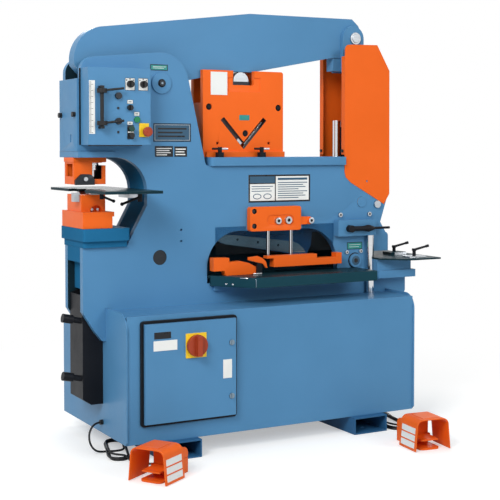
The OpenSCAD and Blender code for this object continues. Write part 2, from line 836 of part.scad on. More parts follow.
module notcher_head() {
    color(blue) in_frame() {
        difference() {
            block(427, 641, -149, -face, 278, 354);
            cyl_y(handle_at[0], handle_at[1], 7 + run_fit, -150, -118);
        }
        // Table support on the side plates: the slab below stands out to the front
        block(632, 849, -184, 130, 72, 108);
        block(632, 830, -172, 130, 107, notch_table_z - notch_table_t);
    }
    color(steel) in_frame() cyl_z(post_at[0], post_at[1], post_r, 0, 279);
}

// Hold-down handle on the notcher head, turning on a pin along Y
handle_at = [486, 314];

module notcher_handle() {
    color(black) in_frame() translate([handle_at[0], -149.3, handle_at[1]]) {
        rotate([90, 0, 0]) cylinder(h = 29, r = 17);
        rotate([-90, 0, 0]) cylinder(h = 28, r = 7);
        translate([0, -18, 0]) rotate([0, 90, 0]) {
            cylinder(h = 66, r = 11.5);
            translate([0, 0, 66]) cylinder(h = 34, r1 = 11.5, r2 = 17);
            translate([0, 0, 100]) cylinder(h = 32, r1 = 17, r2 = 7);
            translate([0, 0, 130]) cylinder(h = 89, r = 6);
        }
    }
}

module notcher_punch() {
    color("#6d7579") in_frame() {
        block(640, 732, -gap_h + slide_gap, gap_h - slide_gap, 204, 290);
    }
}

module notcher_table() {
    z = notch_table_z;
    color(dark_steel) in_frame() {
        translate([0, 0, z - notch_table_t]) linear_extrude(notch_table_t) difference() {
            polygon([[632, -196], [744, -284], [760, -289], [922, -289], [922, 291], [632, 291]]);
            translate(post_at) circle(r = post_r + 1);
        }
        block(772, 862, -90, -18, z - 1, z + rear_pad_t);
    }
    color(steel) in_frame() {
        block(774, 872, -240, -176, z - 1, z + notch_strip_t);
        block(792, 862, -94, -90, z - 1, z + 12);
    }
}

notch_strip_t = 6;
rear_pad_t = 14;
post_at = [621, -128];

module notch_clamp(x, y, z0, h) {
    color(black) in_frame() translate([x, y, notch_table_z + z0 + 0.3]) rotate([0, 0, -8]) elbow_lever(80, 13, 11, h);
}

module notcher_clamp_rear() { notch_clamp(818, -50, rear_pad_t, 30); }
module notcher_clamp_front() { notch_clamp(823, -208, notch_strip_t, 34); }

// ---- slug bin ------------------------------------------------------------------------------

module slug_bin() {
    h = gap_h - 0.2;
    x1 = -base_w / 2;
    x0 = x1 - 92;
    w = 3;
    color(black) in_frame() difference() {
        slab_xz(-h, h) polygon([[x0, -380], [x0 + 38, -405], [x1, -405], [x1, 94], [x0, 66]]);
        slab_xz(-h + w, h - w) polygon([[x0 + w, -378], [x0 + 39, -402], [x1 - w, -402], [x1 - w, 95], [x0 + w, 95]]);
    }
    // Two pull knobs on the left face, tilted up a little
    for (z = [-43, -291]) in_frame() translate([x0 + 1, -56, z]) rotate([0, -78, 0]) {
        color(steel) cylinder(h = 41, r = 13);
        color(black) translate([0, 0, 40]) cylinder(h = 46, r = 19);
    }
}

// ---- controls ------------------------------------------------------------------------------

box_front = -197;
// Switch places on the control box: x, z
selectors = [[-651, 964], [-591, 964], [-653, 865]];
buttons = [[-649, 776], [-649, 748]];
lamp_at = [-621, 815];
stop_at = [-581, 764];

module control_box() {
    color(blue) in_frame() difference() {
        block(-838, -556, box_front, -face, 708, 1031);
        block(-834, -560, box_front + 4, -face + 1, 712, 1027);
        for (p = selectors) cyl_y(p[0], p[1], 8 + run_fit, box_front - 1, box_front + 5);
        for (p = buttons) cyl_y(p[0], p[1], 9 + run_fit, box_front - 1, box_front + 5);
        cyl_y(stop_at[0], stop_at[1], 11 + run_fit, box_front - 1, box_front + 5);
    }
    // Front trim: bosses, studs and the indicator lamp
    color(dark_steel) in_frame() for (z = [914, 808]) cyl_y(-705, z, 14, box_front - 12, box_front);
    color(black) in_frame() for (z = [863, 762]) cyl_y(-705, z, 5, box_front - 3, box_front);
    color("#1f7a4d") in_frame() cyl_y(lamp_at[0], lamp_at[1], 13, box_front - 10, box_front);
    // Stroke rod on its two brackets
    color(black) in_frame() {
        cyl_z(rod_at[0], rod_at[1], rod_stop_r, 778, 954);
        for (z = [776, 944]) block(-794, -778, rod_at[1] - 8, box_front, z, z + 10);
    }
}

rod_at = [-786, box_front - 24];
rod_stop_r = 8;

// Stop collar with its clamp lever on the stroke rod
module stroke_lever(z) {
    color(black) in_frame() difference() {
        union() {
            cyl_z(rod_at[0], rod_at[1], 21, z - 9, z + 9);
            translate([rod_at[0], rod_at[1], z]) rotate([0, 83, 0]) cylinder(h = 98, r = 5, $fn = 16);
        }
        cyl_z(rod_at[0], rod_at[1], rod_stop_r + run_fit, z - 30, z + 30);
    }
}

module stroke_lever_upper() { stroke_lever(933); }
module stroke_lever_lower() { stroke_lever(798); }

// Selector knob with its finger ridge
module selector(i) {
    p = selectors[i];
    r = i < 2 ? 15 : 12;
    color(black) in_frame() {
        cyl_y(p[0], p[1], 8, box_front - 4, box_front + 16);
        cyl_y(p[0], p[1], r, box_front - 16, box_front - 1.3);
        block(p[0] - 4, p[0] + 4, box_front - 26, box_front - 16, p[1] - r + 2, p[1] + r - 2);
    }
}

module selector_left() { selector(0); }
module selector_right() { selector(1); }
module selector_small() { selector(2); }

module push_button(i) {
    p = buttons[i];
    in_frame() {
        cyl_y(p[0], p[1], 9, box_front - 12, box_front + 20);
        cyl_y(p[0], p[1], 12, box_front - 20, box_front - 12);
    }
}

module start_button() { color("#1f7a4d") push_button(0); }
module stop_button() { color("#2a2b2e") push_button(1); }

module emergency_stop() {
    color("#c2381f") in_frame() {
        cyl_y(stop_at[0], stop_at[1], 11, box_front - 17, box_front + 22);
        cyl_y(stop_at[0], stop_at[1], 21, box_front - 34, box_front - 16);
    }
}

// ---- electrical enclosure ------------------------------------------------------------------

door_y = panel_y - 13;

// Black surround on the front panel and the recessed box behind it
module enclosure_frame() {
    b = 12;
    color(black) difference() {
        slab_xz(door_y, panel_y) translate([door_x - b, door_z - b]) round_rect(door_w + 2 * b, door_h + 2 * b, 14);
        block(door_x + 16, door_x + door_w - 16, door_y - 1, panel_y + 1, door_z + 16, door_z + door_h - 16);
    }
    color("#c9ccc8") difference() {
        block(door_x + 16, door_x + door_w - 16, panel_y, panel_y + enclosure_d, door_z + 16, door_z + door_h - 16);
        block(door_x + 18, door_x + door_w - 18, panel_y - 1, panel_y + enclosure_d - 2,
              door_z + 18, door_z + door_h - 18);
    }
}

latch_z = [244, 474];
latch_x = door_x + door_w - 22;
switch_at = [-423, 475];

module enclosure_door() {
    t = 3;
    y1 = door_y - 0.3;
    y0 = y1 - 16;
    color(blue) difference() {
        block(door_x, door_x + door_w, y0, y1, door_z, door_z + door_h);
        block(door_x + t, door_x + door_w - t, y0 + t, y1 + 1, door_z + t, door_z + door_h - t);
        for (z = latch_z) cyl_y(latch_x, z, 8 + run_fit, y0 - 1, y0 + t + 1);
        cyl_y(switch_at[0], switch_at[1], 9 + run_fit, y0 - 10, y0 + t + 1);
    }
    // Yellow plate of the main switch
    color(yellow) difference() {
        block(switch_at[0] - 48, switch_at[0] + 48, y0 - 4, y0, switch_at[1] - 52, switch_at[1] + 52);
        cyl_y(switch_at[0], switch_at[1], 9 + run_fit, y0 - 10, y0 + 1);
    }
    // Blank label plates on the door
    color(black) slab_xz(y0 - 1, y0) translate([-615, 514]) square([76, 28]);
    color(white) slab_xz(y0 - 1, y0) {
        translate([-618, 464]) square([108, 42]);
        translate([-294, 322]) square([42, 80]);
    }
}

module door_latch(z) {
    y0 = door_y - 0.3 - 16;
    color(steel) {
        cyl_y(latch_x, z, 8, y0 - 0.3, y0 + 12);
        cyl_y(latch_x, z, 12, y0 - 5.3, y0 - 0.3);
        block(latch_x - 3, latch_x + 3, y0 - 9, y0 - 5.3, z - 10, z + 10);
    }
}

module latch_upper() { door_latch(latch_z[1]); }
module latch_lower() { door_latch(latch_z[0]); }

module main_switch_knob() {
    y0 = door_y - 0.3 - 20;
    color("#c2381f") {
        cyl_y(switch_at[0], switch_at[1], 9, y0 - 0.3, y0 + 17);
        cyl_y(switch_at[0], switch_at[1], 46, y0 - 18, y0 - 0.3);
        block(switch_at[0] - 11, switch_at[0] + 11, y0 - 40, y0 - 18, switch_at[1] - 42, switch_at[1] + 42);
    }
}

// Rail with contactors and terminals on the enclosure's back wall
module control_gear() {
    y = panel_y + enclosure_d - 2;
    color(steel) block(door_x + 60, door_x + door_w - 60, y - 10, y, 400, 434);
    for (i = [0:3]) color(i < 2 ? black : "#d8dad6")
        block(door_x + 76 + i * 66, door_x + 124 + i * 66, y - 84, y - 10, 372, 462);
    color("#d8dad6") block(door_x + 60, door_x + door_w - 60, y - 50, y, 220, 262);
}

// ---- blank label plates --------------------------------------------------------------------

module label_plates() {
    yf = -face - 1;
    y_out = -angle_out - 1;
    in_frame() {
        color(teal) slab_xz(yf, -face) {
            translate([-519, 1032]) square([83, 26]);
            translate([501, 211]) square([86, 34]);
        }
        color("#2d4f66") slab_xz(yf, -face) translate([-505, 723]) square([180, 80]);
        color(black) slab_xz(yf, -face) {
            translate([-498, 657]) square([86, 47]);
            translate([-405, 657]) square([61, 45]);
        }
        color(white) {
            slab_xz(yf, -face) translate([-35, 447]) square([328, 126]);
            slab_xz(y_out, y_out + 1) translate([-202, 935]) square([84, 104]);
            slab_xz(box_front - 1, box_front) {
                translate([-834, 754]) square([26, 222]);
                for (x = [-651, -591]) translate([x - 22, 938]) difference() {
                    square([44, 52]);
                    translate([22, 26]) circle(r = 8.5);
                }
                translate([-664, 881]) square([26, 17]);
                translate([-633, 831]) square([25, 17]);
                translate([-664, 793]) square([25, 14]);
            }
        }
        color(teal) slab_xz(y_out, y_out + 1) translate([-56, 822]) square([52, 24]);
        color(yellow) slab_xz(box_front - 3, box_front) difference() {
            translate([-610, 742]) square([44, 58]);
            translate(stop_at) circle(r = 11.5);
        }
    }
    // Three blank plates on each side wall of the foot switches
    for (s = [left_switch, right_switch]) place_switch(s) color(white) for (i = [0:2], k = [-1, 1])
        translate([k * hood_w / 2, 0, hood_h - hood_r]) rotate([0, -k * hood_flare, 0])
            translate([k < 0 ? -1 : 0, -hood_l / 2 + 12, 14 + i * 31 - hood_h + hood_r]) cube([1, 112, 25]);
}

// ---- foot switches -------------------------------------------------------------------------

// Centre on the floor and turn of each foot switch
left_switch = [-672, -606, -56.9];
right_switch = [528, -690, -6.1];

module place_switch(s) { translate([s[0], s[1], 0]) rotate([0, 0, s[2]]) children(); }

hood_t = 5;
hood_depth = 138;
body_w = 100;
hinge = [2, 40];
hinge_r = 4.5;

// The hood's sides flare outwards below the round of its top
hood_r = 30;
hood_flare = 5;

// Arch outline of the hood, inset by d, down to height z
module hood_arch(d, z) {
    w = hood_w / 2 - d;
    top = hood_h - d;
    r = hood_r - d;
    foot = w + (top - r - z) * tan(hood_flare);
    polygon(concat([[foot, z]], arc(w - r, top - r, r, 0, 90, 6), arc(-w + r, top - r, r, 90, 180, 6), [[-foot, z]]));
}

// Hood over the treadle, cast body behind it, base tongue, hinge lugs, gland and screw ear
module foot_hood() {
    l = hood_l / 2;
    bw = body_w / 2;
    front = -l + 124;
    color(orange) {
        slab_xz(-l, -l + hood_depth) difference() {
            hood_arch(0, 3);
            hood_arch(hood_t, 2);
        }
        // Body, with a seam at half height, and the web that carries the hood
        difference() {
            slab_yz(-bw, bw) polygon(concat([[front, 0], [front, hood_h - hood_t], [front + 12, hood_h - hood_t],
                [front + 28, 106]], arc(l - 30, 76, 30, 90, 10, 6), [[l, 0]]));
            difference() {
                block(-bw - 1, bw + 1, front + 30, l + 1, 60, 63);
                block(-bw + 2, bw - 2, front + 20, l - 2, 50, 70);
            }
        }
        // Base tongue
        translate([-bw, -l + 20, 0]) linear_extrude(8) union() {
            translate([22, 0]) square([2 * bw - 44, 30]);
            translate([0, 22]) square([2 * bw, 90]);
            for (x = [22, 2 * bw - 22]) translate([x, 22]) circle(r = 22, $fn = 32);
        }
        // Hinge lugs
        for (s = [-1, 1]) difference() {
            block(s < 0 ? -bw : bw - 6, s < 0 ? -bw + 6 : bw, hinge[0] - 9, front + 1, 30, 50);
            cyl_x(hinge[0], hinge[1], hinge_r + run_fit, -bw - 1, bw + 1);
        }
        // Screw ear
        difference() {
            union() {
                block(-36, -12, l - 1, l + 12, 0, 7);
                cyl_z(-24, l + 12, 12, 0, 7);
            }
            cyl_z(-24, l + 12, 5, -1, 8);
        }
    }
    // Rubber pad on the hood and the cord gland
    color(black) {
        block(-40, 40, -l + 16, -l + 112, hood_h, hood_h + 2);
        cyl_y(0, 50, 10, l, l + gland_l);
    }
}

module foot_switch_hoods() {
    place_switch(left_switch) foot_hood();
    place_switch(right_switch) foot_hood();
}

// Treadle hinged in front of the body, sloping down to its front edge
module treadle() {
    w = body_w / 2 - 6 - slide_gap;
    color(orange) {
        translate([0, hinge[0], hinge[1]]) rotate([2, 0, 0]) translate([-w + 2, -88, 1]) cube([2 * w - 4, 88, 6]);
        cyl_x(hinge[0], hinge[1], 8, -w, w);
        cyl_x(hinge[0], hinge[1], hinge_r, -body_w / 2, body_w / 2);
    }
}

module treadle_left() { place_switch(left_switch) treadle(); }
module treadle_right() { place_switch(right_switch) treadle(); }

// ---- foot-switch cords ---------------------------------------------------------------------

cord_r = 4.5;
// Routes of the free stretches, from the machine's gland to the hank and on to the switch
left_route_a = [[-742, -111, 124], [-772, -113, 118], [-798, -126, 84], [-800, -146, 42], [-776, -156, 12], [-728, -154, 6]];
left_route_b = [[-700, -304, 6], [-702, -350, 6], [-672, -404, 6], [-622, -437, 7], [-570, -443, 12], [-533, -456, 22],
                [-521, -485, 34], [-540, -520, 46], [-568, -538, 50]];
right_route_a = [[640, -60, 64], [644, -66, 38], [656, -88, 14], [672, -118, 6], [676, -134, 6]];
right_route_b = [[606, -422, 6], [598, -460, 7], [578, -500, 22], [553, -536, 44], [541, -566, 50]];

// Tangent of a route at point i
function step(p, i) = p[min(i + 1, len(p) - 1)] - p[max(i - 1, 0)];
function unit(v) = v / norm(v);

// Points of a smooth curve through a route, n to each span
function spline(p, n) = concat(
    [for (i = [0:len(p) - 2], k = [0:n - 1])
        let (t = k / n, m0 = step(p, i) / 2, m1 = step(p, i + 1) / 2)
        (2 * pow(t, 3) - 3 * pow(t, 2) + 1) * p[i] + (pow(t, 3) - 2 * pow(t, 2) + t) * m0
        + (3 * pow(t, 2) - 2 * pow(t, 3)) * p[i + 1] + (pow(t, 3) - pow(t, 2)) * m1],
    [p[len(p) - 1]]);

// Tube of radius r swept along points p
module tube(p, r, sides = 8) {
    n = len(p);
    rings = [for (i = [0:n - 1])
        let (t = unit(step(p, i)), u = unit(cross(t, abs(t[2]) > 0.9 ? [1, 0, 0] : [0, 0, 1])), v = cross(t, u))
        [for (k = [0:sides - 1]) p[i] + r * (cos(360 * k / sides) * u + sin(360 * k / sides) * v)]];
    points = [for (ring = rings, q = ring) q];
    polyhedron(points = points, faces = concat(
        [[for (k = [0:sides - 1]) k]],
        [[for (k = [sides - 1:-1:0]) (n - 1) * sides + k]],
        [for (i = [0:n - 2], k = [0:sides - 1])
            [i * sides + k, (i + 1) * sides + k, (i + 1) * sides + (k + 1) % sides, i * sides + (k + 1) % sides]]));
}

module foot_cords() {
    color(black) {
        tube(spline(left_route_a, 5), cord_r);
        tube(spline(left_route_b, 5), cord_r);
        tube(spline(right_route_a, 5), cord_r);
        tube(spline(right_route_b, 5), cord_r);
    }
}

// Flat oval hank: outer length, outer width, cord band
module hank(l, w, band, h) {
    linear_extrude(h) difference() {
        union() {
            translate([-w / 2, -l / 2 + w / 2]) square([w, l - w]);
            for (s = [-1, 1]) translate([0, s * (l - w) / 2]) circle(r = w / 2);
        }
        translate([-w / 2 + band, -l / 2 + w / 2]) square([w - 2 * band, l - w]);
        for (s = [-1, 1]) translate([0, s * (l - w) / 2]) circle(r = w / 2 - band);
    }
}

module foot_cord_hanks() {
    color(black) {
        translate([-682, -150, 0]) rotate([0, 0, -18]) hank(350, 100, 22, 20);
        translate([650, -280, 0]) rotate([0, 0, -10]) hank(330, 120, 22, 20);
    }
}

base_cabinet();
fork_tubes();
front_side_plate();
rear_side_plate();
throat_liner();
punch_head();
deck_plate();
frame_pins();
punch_cylinder();
punch_ram();
stripper();
die_block();
lower_tooling();
punch_table();
table_lever_left();
table_lever_right();
angle_shear_housing();
angle_ram();
clamp_blocks();
clamp_screw_left();
clamp_screw_right();
ram_guard();
main_cylinder_barrel();
main_cylinder_rod();
clevis_pin();
swing_beam();
shear_arm();
shear_table();
hold_down_bridge();
hold_down_bar();
shear_guides();
window_shield();
notcher_head();
notcher_handle();
notcher_punch();
notcher_table();
notcher_clamp_front();
notcher_clamp_rear();
slug_bin();
control_box();
stroke_lever_upper();
stroke_lever_lower();
selector_left();
selector_right();
selector_small();
start_button();
stop_button();
emergency_stop();
enclosure_frame();
enclosure_door();
control_gear();
latch_upper();
latch_lower();
main_switch_knob();
label_plates();
foot_switch_hoods();
treadle_left();
treadle_right();
foot_cords();
foot_cord_hanks();
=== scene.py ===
import json
import math
import bmesh
import bpy
from mathutils import Matrix, Vector


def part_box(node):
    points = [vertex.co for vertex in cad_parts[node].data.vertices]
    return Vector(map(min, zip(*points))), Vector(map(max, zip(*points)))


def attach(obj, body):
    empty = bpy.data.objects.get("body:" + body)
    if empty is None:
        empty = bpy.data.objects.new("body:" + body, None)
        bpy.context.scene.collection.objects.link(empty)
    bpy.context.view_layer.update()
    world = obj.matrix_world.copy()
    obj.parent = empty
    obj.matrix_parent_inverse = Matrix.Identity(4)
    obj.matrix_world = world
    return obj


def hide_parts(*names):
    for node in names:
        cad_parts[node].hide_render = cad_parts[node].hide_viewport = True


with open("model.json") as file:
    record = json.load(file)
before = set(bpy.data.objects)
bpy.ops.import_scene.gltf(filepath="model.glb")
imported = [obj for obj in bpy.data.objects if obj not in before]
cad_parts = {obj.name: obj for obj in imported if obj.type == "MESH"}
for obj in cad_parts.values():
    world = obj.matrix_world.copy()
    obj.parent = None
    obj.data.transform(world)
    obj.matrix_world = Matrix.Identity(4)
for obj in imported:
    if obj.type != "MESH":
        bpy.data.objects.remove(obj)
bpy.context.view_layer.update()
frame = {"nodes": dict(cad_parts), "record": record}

# ---- places and sizes, in metres -------------------------------------------------------------
MM = 0.001
FRAME_Y = -0.041          # mid plane of the side plates
BASE_TOP = 0.610          # top of the base cabinet


def m(x, y, z):
    """A point given in millimetres from the side plates' mid plane and the base top."""
    return Vector((x * MM, FRAME_Y + y * MM, BASE_TOP + z * MM))


def floor_mm(x, y, z):
    """A point given in millimetres from the centre of the base on the floor."""
    return Vector((x * MM, y * MM, z * MM))


# ---- materials -------------------------------------------------------------------------------
def linear(code):
    """Linear colour of a hex code."""
    def one(v):
        v /= 255
        return v / 12.92 if v <= 0.04045 else ((v + 0.055) / 1.055) ** 2.4
    return tuple(one(int(code[i:i + 2], 16)) for i in (0, 2, 4)) + (1.0,)


class Graph:
    """A material's node tree with short calls to add nodes and links."""

    def __init__(self, name):
        self.material = bpy.data.materials.new(name)
        self.material.use_nodes = True
        self.tree = self.material.node_tree
        self.tree.nodes.clear()
        self.out = self.add("ShaderNodeOutputMaterial")
        self.shader = self.add("ShaderNodeBsdfPrincipled")
        self.link(self.shader.outputs["BSDF"], self.out.inputs["Surface"])
        self.place = self.add("ShaderNodeTexCoord").outputs["Object"]

    def add(self, kind, **values):
        node = self.tree.nodes.new(kind)
        for key, value in values.items():
            if hasattr(node, key):
                setattr(node, key, value)
            else:
                node.inputs[key.replace("_", " ")].default_value = value
        return node

    def link(self, a, b):
        self.tree.links.new(a, b)

    def noise(self, scale, detail=3.0, rough=0.5, stretch=None):
        node = self.add("ShaderNodeTexNoise", Scale=scale, Detail=detail, Roughness=rough)
        place = self.place
        if stretch:
            mapping = self.add("ShaderNodeMapping")
            mapping.inputs["Scale"].default_value = stretch
            self.link(place, mapping.inputs["Vector"])
            place = mapping.outputs["Vector"]
        self.link(place, node.inputs["Vector"])
        return node.outputs["Fac"]

    def ramp(self, value, low, high, from_low=0.3, from_high=0.7):
        node = self.add("ShaderNodeMapRange")
        node.inputs["From Min"].default_value = from_low
        node.inputs["From Max"].default_value = from_high
        node.inputs["To Min"].default_value = low
        node.inputs["To Max"].default_value = high
        self.link(value, node.inputs["Value"])
        return node.outputs["Result"]

    def mix(self, factor, a, b):
        node = self.add("ShaderNodeMix", data_type="RGBA")
        if isinstance(factor, float):
            node.inputs[0].default_value = factor
        else:
            self.link(factor, node.inputs[0])
        for socket, value in ((node.inputs[6], a), (node.inputs[7], b)):
            if isinstance(value, tuple):
                socket.default_value = value
            else:
                self.link(value, socket)
        return node.outputs[2]

    def edges(self, radius):
        """1 along the sharp edges of the mesh, 0 elsewhere, and the rounded normal."""
        bevel = self.add("ShaderNodeBevel", samples=4, Radius=radius)
        flat = self.add("ShaderNodeNewGeometry")
        dot = self.add("ShaderNodeVectorMath", operation="DOT_PRODUCT")
        self.link(bevel.outputs["Normal"], dot.inputs[0])
        self.link(flat.outputs["Normal"], dot.inputs[1])
        return self.ramp(dot.outputs["Value"], 1.0, 0.0, 0.80, 0.985), bevel.outputs["Normal"]

    def bump(self, height, strength, distance, normal=None):
        node = self.add("ShaderNodeBump", Strength=strength, Distance=distance)
        self.link(height, node.inputs["Height"])
        if normal is not None:
            self.link(normal, node.inputs["Normal"])
        self.link(node.outputs["Normal"], self.shader.inputs["Normal"])


def paint(name, code, rough=0.34, wear=0.35, tone=0.10, peel=0.05, specular=0.22):
    """Sprayed enamel: faint clouding, orange peel, uneven gloss, and thin rubbed edges."""
    g = Graph(name)
    colour = linear(code)
    dark = tuple(c * (1 - tone) for c in colour[:3]) + (1.0,)
    light = tuple(min(1.0, c * (1 + tone) + 0.004) for c in colour[:3]) + (1.0,)
    body = g.mix(g.ramp(g.noise(2.2, 4.0), 0.0, 1.0), dark, light)
    edge, rounded = g.edges(0.003)
    patchy = g.add("ShaderNodeMath", operation="MULTIPLY")
    g.link(edge, patchy.inputs[0])
    g.link(g.ramp(g.noise(26.0, 5.0, 0.65), 0.0, wear, 0.42, 0.68), patchy.inputs[1])
    bare = tuple(min(1.0, 0.45 * c + 0.30) for c in colour[:3]) + (1.0,)
    g.link(g.mix(patchy.outputs[0], body, bare), g.shader.inputs["Base Color"])
    g.link(g.ramp(g.noise(9.0, 5.0, 0.6), rough - 0.05, rough + 0.09), g.shader.inputs["Roughness"])
    g.shader.inputs["Specular IOR Level"].default_value = specular
    g.bump(g.noise(420.0, 2.0), peel, 0.0006, rounded)
    return g.material


def metal(name, code, rough=0.28, grain=(1.0, 1.0, 60.0), scale=14.0, tone=0.14, depth=0.05):
    """Machined or ground steel with a directional grain."""
    g = Graph(name)
    colour = linear(code)
    dark = tuple(c * (1 - tone) for c in colour[:3]) + (1.0,)
    light = tuple(min(1.0, c * (1 + tone)) for c in colour[:3]) + (1.0,)
    lines = g.noise(scale, 4.0, 0.6, grain)
    g.link(g.mix(g.ramp(lines, 0.0, 1.0), dark, light), g.shader.inputs["Base Color"])
    g.link(g.ramp(g.noise(7.0, 4.0, 0.6), rough - 0.06, rough + 0.10), g.shader.inputs["Roughness"])
    g.shader.inputs["Metallic"].default_value = 1.0
    _, rounded = g.edges(0.0012)
    g.bump(lines, depth, 0.0005, rounded)
    return g.material


def plastic(name, code, rough=0.42, grain=0.05, tone=0.08, scale=700.0, specular=0.30):
    """Moulded plastic or rubber with a fine surface grain."""
    g = Graph(name)
    colour = linear(code)
    dark = tuple(c * (1 - tone) for c in colour[:3]) + (1.0,)
    light = tuple(min(1.0, c * (1 + tone) + 0.002) for c in colour[:3]) + (1.0,)
    g.link(g.mix(g.ramp(g.noise(6.0, 3.0), 0.0, 1.0), dark, light), g.shader.inputs["Base Color"])
    g.link(g.ramp(g.noise(18.0, 4.0), rough - 0.05, rough + 0.07), g.shader.inputs["Roughness"])
    g.shader.inputs["Specular IOR Level"].default_value = specular
    _, rounded = g.edges(0.0012)
    g.bump(g.noise(scale, 2.0), grain, 0.0004, rounded)
    return g.material


BLUE = paint("blue_enamel", "5086b0", rough=0.36, tone=0.05, wear=0.30, specular=0.16)
# Darker blue for the fork tubes; on the shear arm the same colour is painted shade, the arm's blue darkened for the
# shadow behind the window
DARK_BLUE_AND_ARM_SHADE = paint("blue_tube_enamel_and_arm_painted_shade", "2c608a", rough=0.40, tone=0.07, specular=0.12)
ORANGE = paint("orange_enamel", "ee661a", rough=0.34, tone=0.05, wear=0.25, specular=0.14)
TABLE = paint("table_enamel", "132e36", rough=0.30, tone=0.16, wear=0.55, specular=0.03)
TABLE_EDGE = paint("table_edge_enamel", "163f4b", rough=0.40, tone=0.14, wear=0.45, specular=0.06)
BLACK = paint("black_enamel", "16181d", rough=0.38, tone=0.15, wear=0.20, specular=0.10)
# Painted shade: the throat liner's blue is the frame's blue darkened for the shadow in the throat
SHADED_LINER = paint("liner_painted_shade", "1f6690", rough=0.60, tone=0.08, specular=0.02)
# Painted shade: near-black teal for the side plates' inner faces, standing in for the shadow in the gap between the
# plates
SHADED_GAP = paint("gap_painted_shade", "132a33", rough=0.60, tone=0.15, specular=0.03)
# Bluish steel of the latches and the pivot bolt's centre, also used for a painted highlight on the shear table's
# corner
LATCH_STEEL_AND_HIGHLIGHT = metal("latch_steel_and_painted_highlight", "7d8f9c", rough=0.38)
HIDDEN = paint("grey_enamel", "47535c", rough=0.45, tone=0.10)
STEEL = metal("machined_steel", "b4b9be", rough=0.30)
CHROME = metal("bright_steel", "d6d9dc", rough=0.12, depth=0.015, tone=0.05)
TOOL = metal("tool_steel", "7b8084", rough=0.36, grain=(1.0, 1.0, 24.0))
DARK_STEEL = metal("blackened_steel", "33363a", rough=0.40, tone=0.20)
PLASTIC = plastic("black_plastic", "17181a")
JACKET = plastic("cord_jacket", "141517", rough=0.36, grain=0.04)
GREEN = plastic("green_plastic", "1c7a50", rough=0.25)
RED = plastic("red_plastic", "9c3a1c", rough=0.30)
GREEN_DARK = plastic("dark_green_plastic", "1b4034", rough=0.25)
YELLOW = plastic("yellow_plate", "f0c928", rough=0.30)
WHITE = plastic("white_plate", "e9ebe8", rough=0.35, tone=0.03)
TEAL = plastic("teal_plate", "2a8c86", rough=0.35)
# Black of the prints and sockets, also used for painted shade: stripes on the hold-down studs, the arm blade's holes,
# and strips beside and under the control box
BLACK_PRINT_AND_SHADE = plastic("black_print_and_painted_shade", "17191d", rough=0.30)
LABEL_BLUE = plastic("blue_plate", "31566f", rough=0.33)
GREY_BOX = paint("grey_box_enamel", "c3c7c4", rough=0.45, tone=0.03)
CONTROL = plastic("control_plastic", "c9cbc8", rough=0.45)


def shield_material():
    g = Graph("clear_shield")
    g.shader.inputs["Base Color"].default_value = linear("dfeaf2")
    g.shader.inputs["Transmission Weight"].default_value = 0.0
    g.shader.inputs["Roughness"].default_value = 0.08
    clear = g.add("ShaderNodeBsdfTransparent")
    clear.inputs["Color"].default_value = (0.66, 0.76, 0.81, 1.0)
    blend = g.add("ShaderNodeMixShader")
    g.link(g.ramp(g.noise(14.0, 4.0), 0.003, 0.009), blend.inputs[0])
    g.link(clear.outputs[0], blend.inputs[1])
    g.link(g.shader.outputs[0], blend.inputs[2])
    g.link(blend.outputs[0], g.out.inputs["Surface"])
    return g.material


SHIELD = shield_material()

# ---- tools for pieces ------------------------------------------------------------------------
# Body that carries each node
BODY = {n: b for b, ns in ((frame["record"].get("behaviour") or {}).get("bodies") or {}).items() for n in ns}


def smooth(obj, degrees=32.0):
    for p in obj.data.polygons:
        p.use_smooth = True
    obj.data.set_sharp_from_angle(angle=math.radians(degrees))


def inside(point, region):
    lo, hi = region
    return all(a - 2e-4 <= c <= b + 2e-4 for c, a, b in zip(point, lo, hi))


def dress(node, material, regions=(), bevel=0.0015, segments=2, name=None):
    """A welded copy of a CAD node with rounded edges, and another material inside each region."""
    source = frame["nodes"][node]
    bm = bmesh.new()
    bm.from_mesh(source.data)
    bmesh.ops.remove_doubles(bm, verts=bm.verts, dist=1e-5)
    for f in bm.faces:
        f.material_index = 0
        for i, (_, lo, hi) in enumerate(regions):
            if all(inside(v.co, (lo, hi)) for v in f.verts):
                f.material_index = i + 1
    bmesh.ops.dissolve_limit(bm, angle_limit=math.radians(0.5), verts=bm.verts, edges=bm.edges,
                             delimit={"MATERIAL"})
    mesh = bpy.data.meshes.new(name or node + "_body")
    for item in (material, *[r[0] for r in regions]):
        mesh.materials.append(item)
    bm.to_mesh(mesh)
    bm.free()
    obj = bpy.data.objects.new(name or node + "_body", mesh)
    bpy.context.scene.collection.objects.link(obj)
    smooth(obj)
    if bevel:
        mod = obj.modifiers.new("round", "BEVEL")
        mod.width, mod.segments = bevel, segments
        mod.limit_method, mod.angle_limit = "ANGLE", math.radians(40)
        mod.harden_normals = True
        mod.use_clamp_overlap = True
    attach(obj, BODY[node])
    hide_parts(node)
    return obj


def add_mesh(name, bm, material, body="machine", smooth_at=32.0):
    mesh = bpy.data.meshes.new(name)
    bm.to_mesh(mesh)
    bm.free()
    materials = material if isinstance(material, (list, tuple)) else [material]
    for item in materials:
        mesh.materials.append(item)
    obj = bpy.data.objects.new(name, mesh)
    bpy.context.scene.collection.objects.link(obj)
    smooth(obj, smooth_at)
    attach(obj, body)
    return obj


SHARP = 0.7


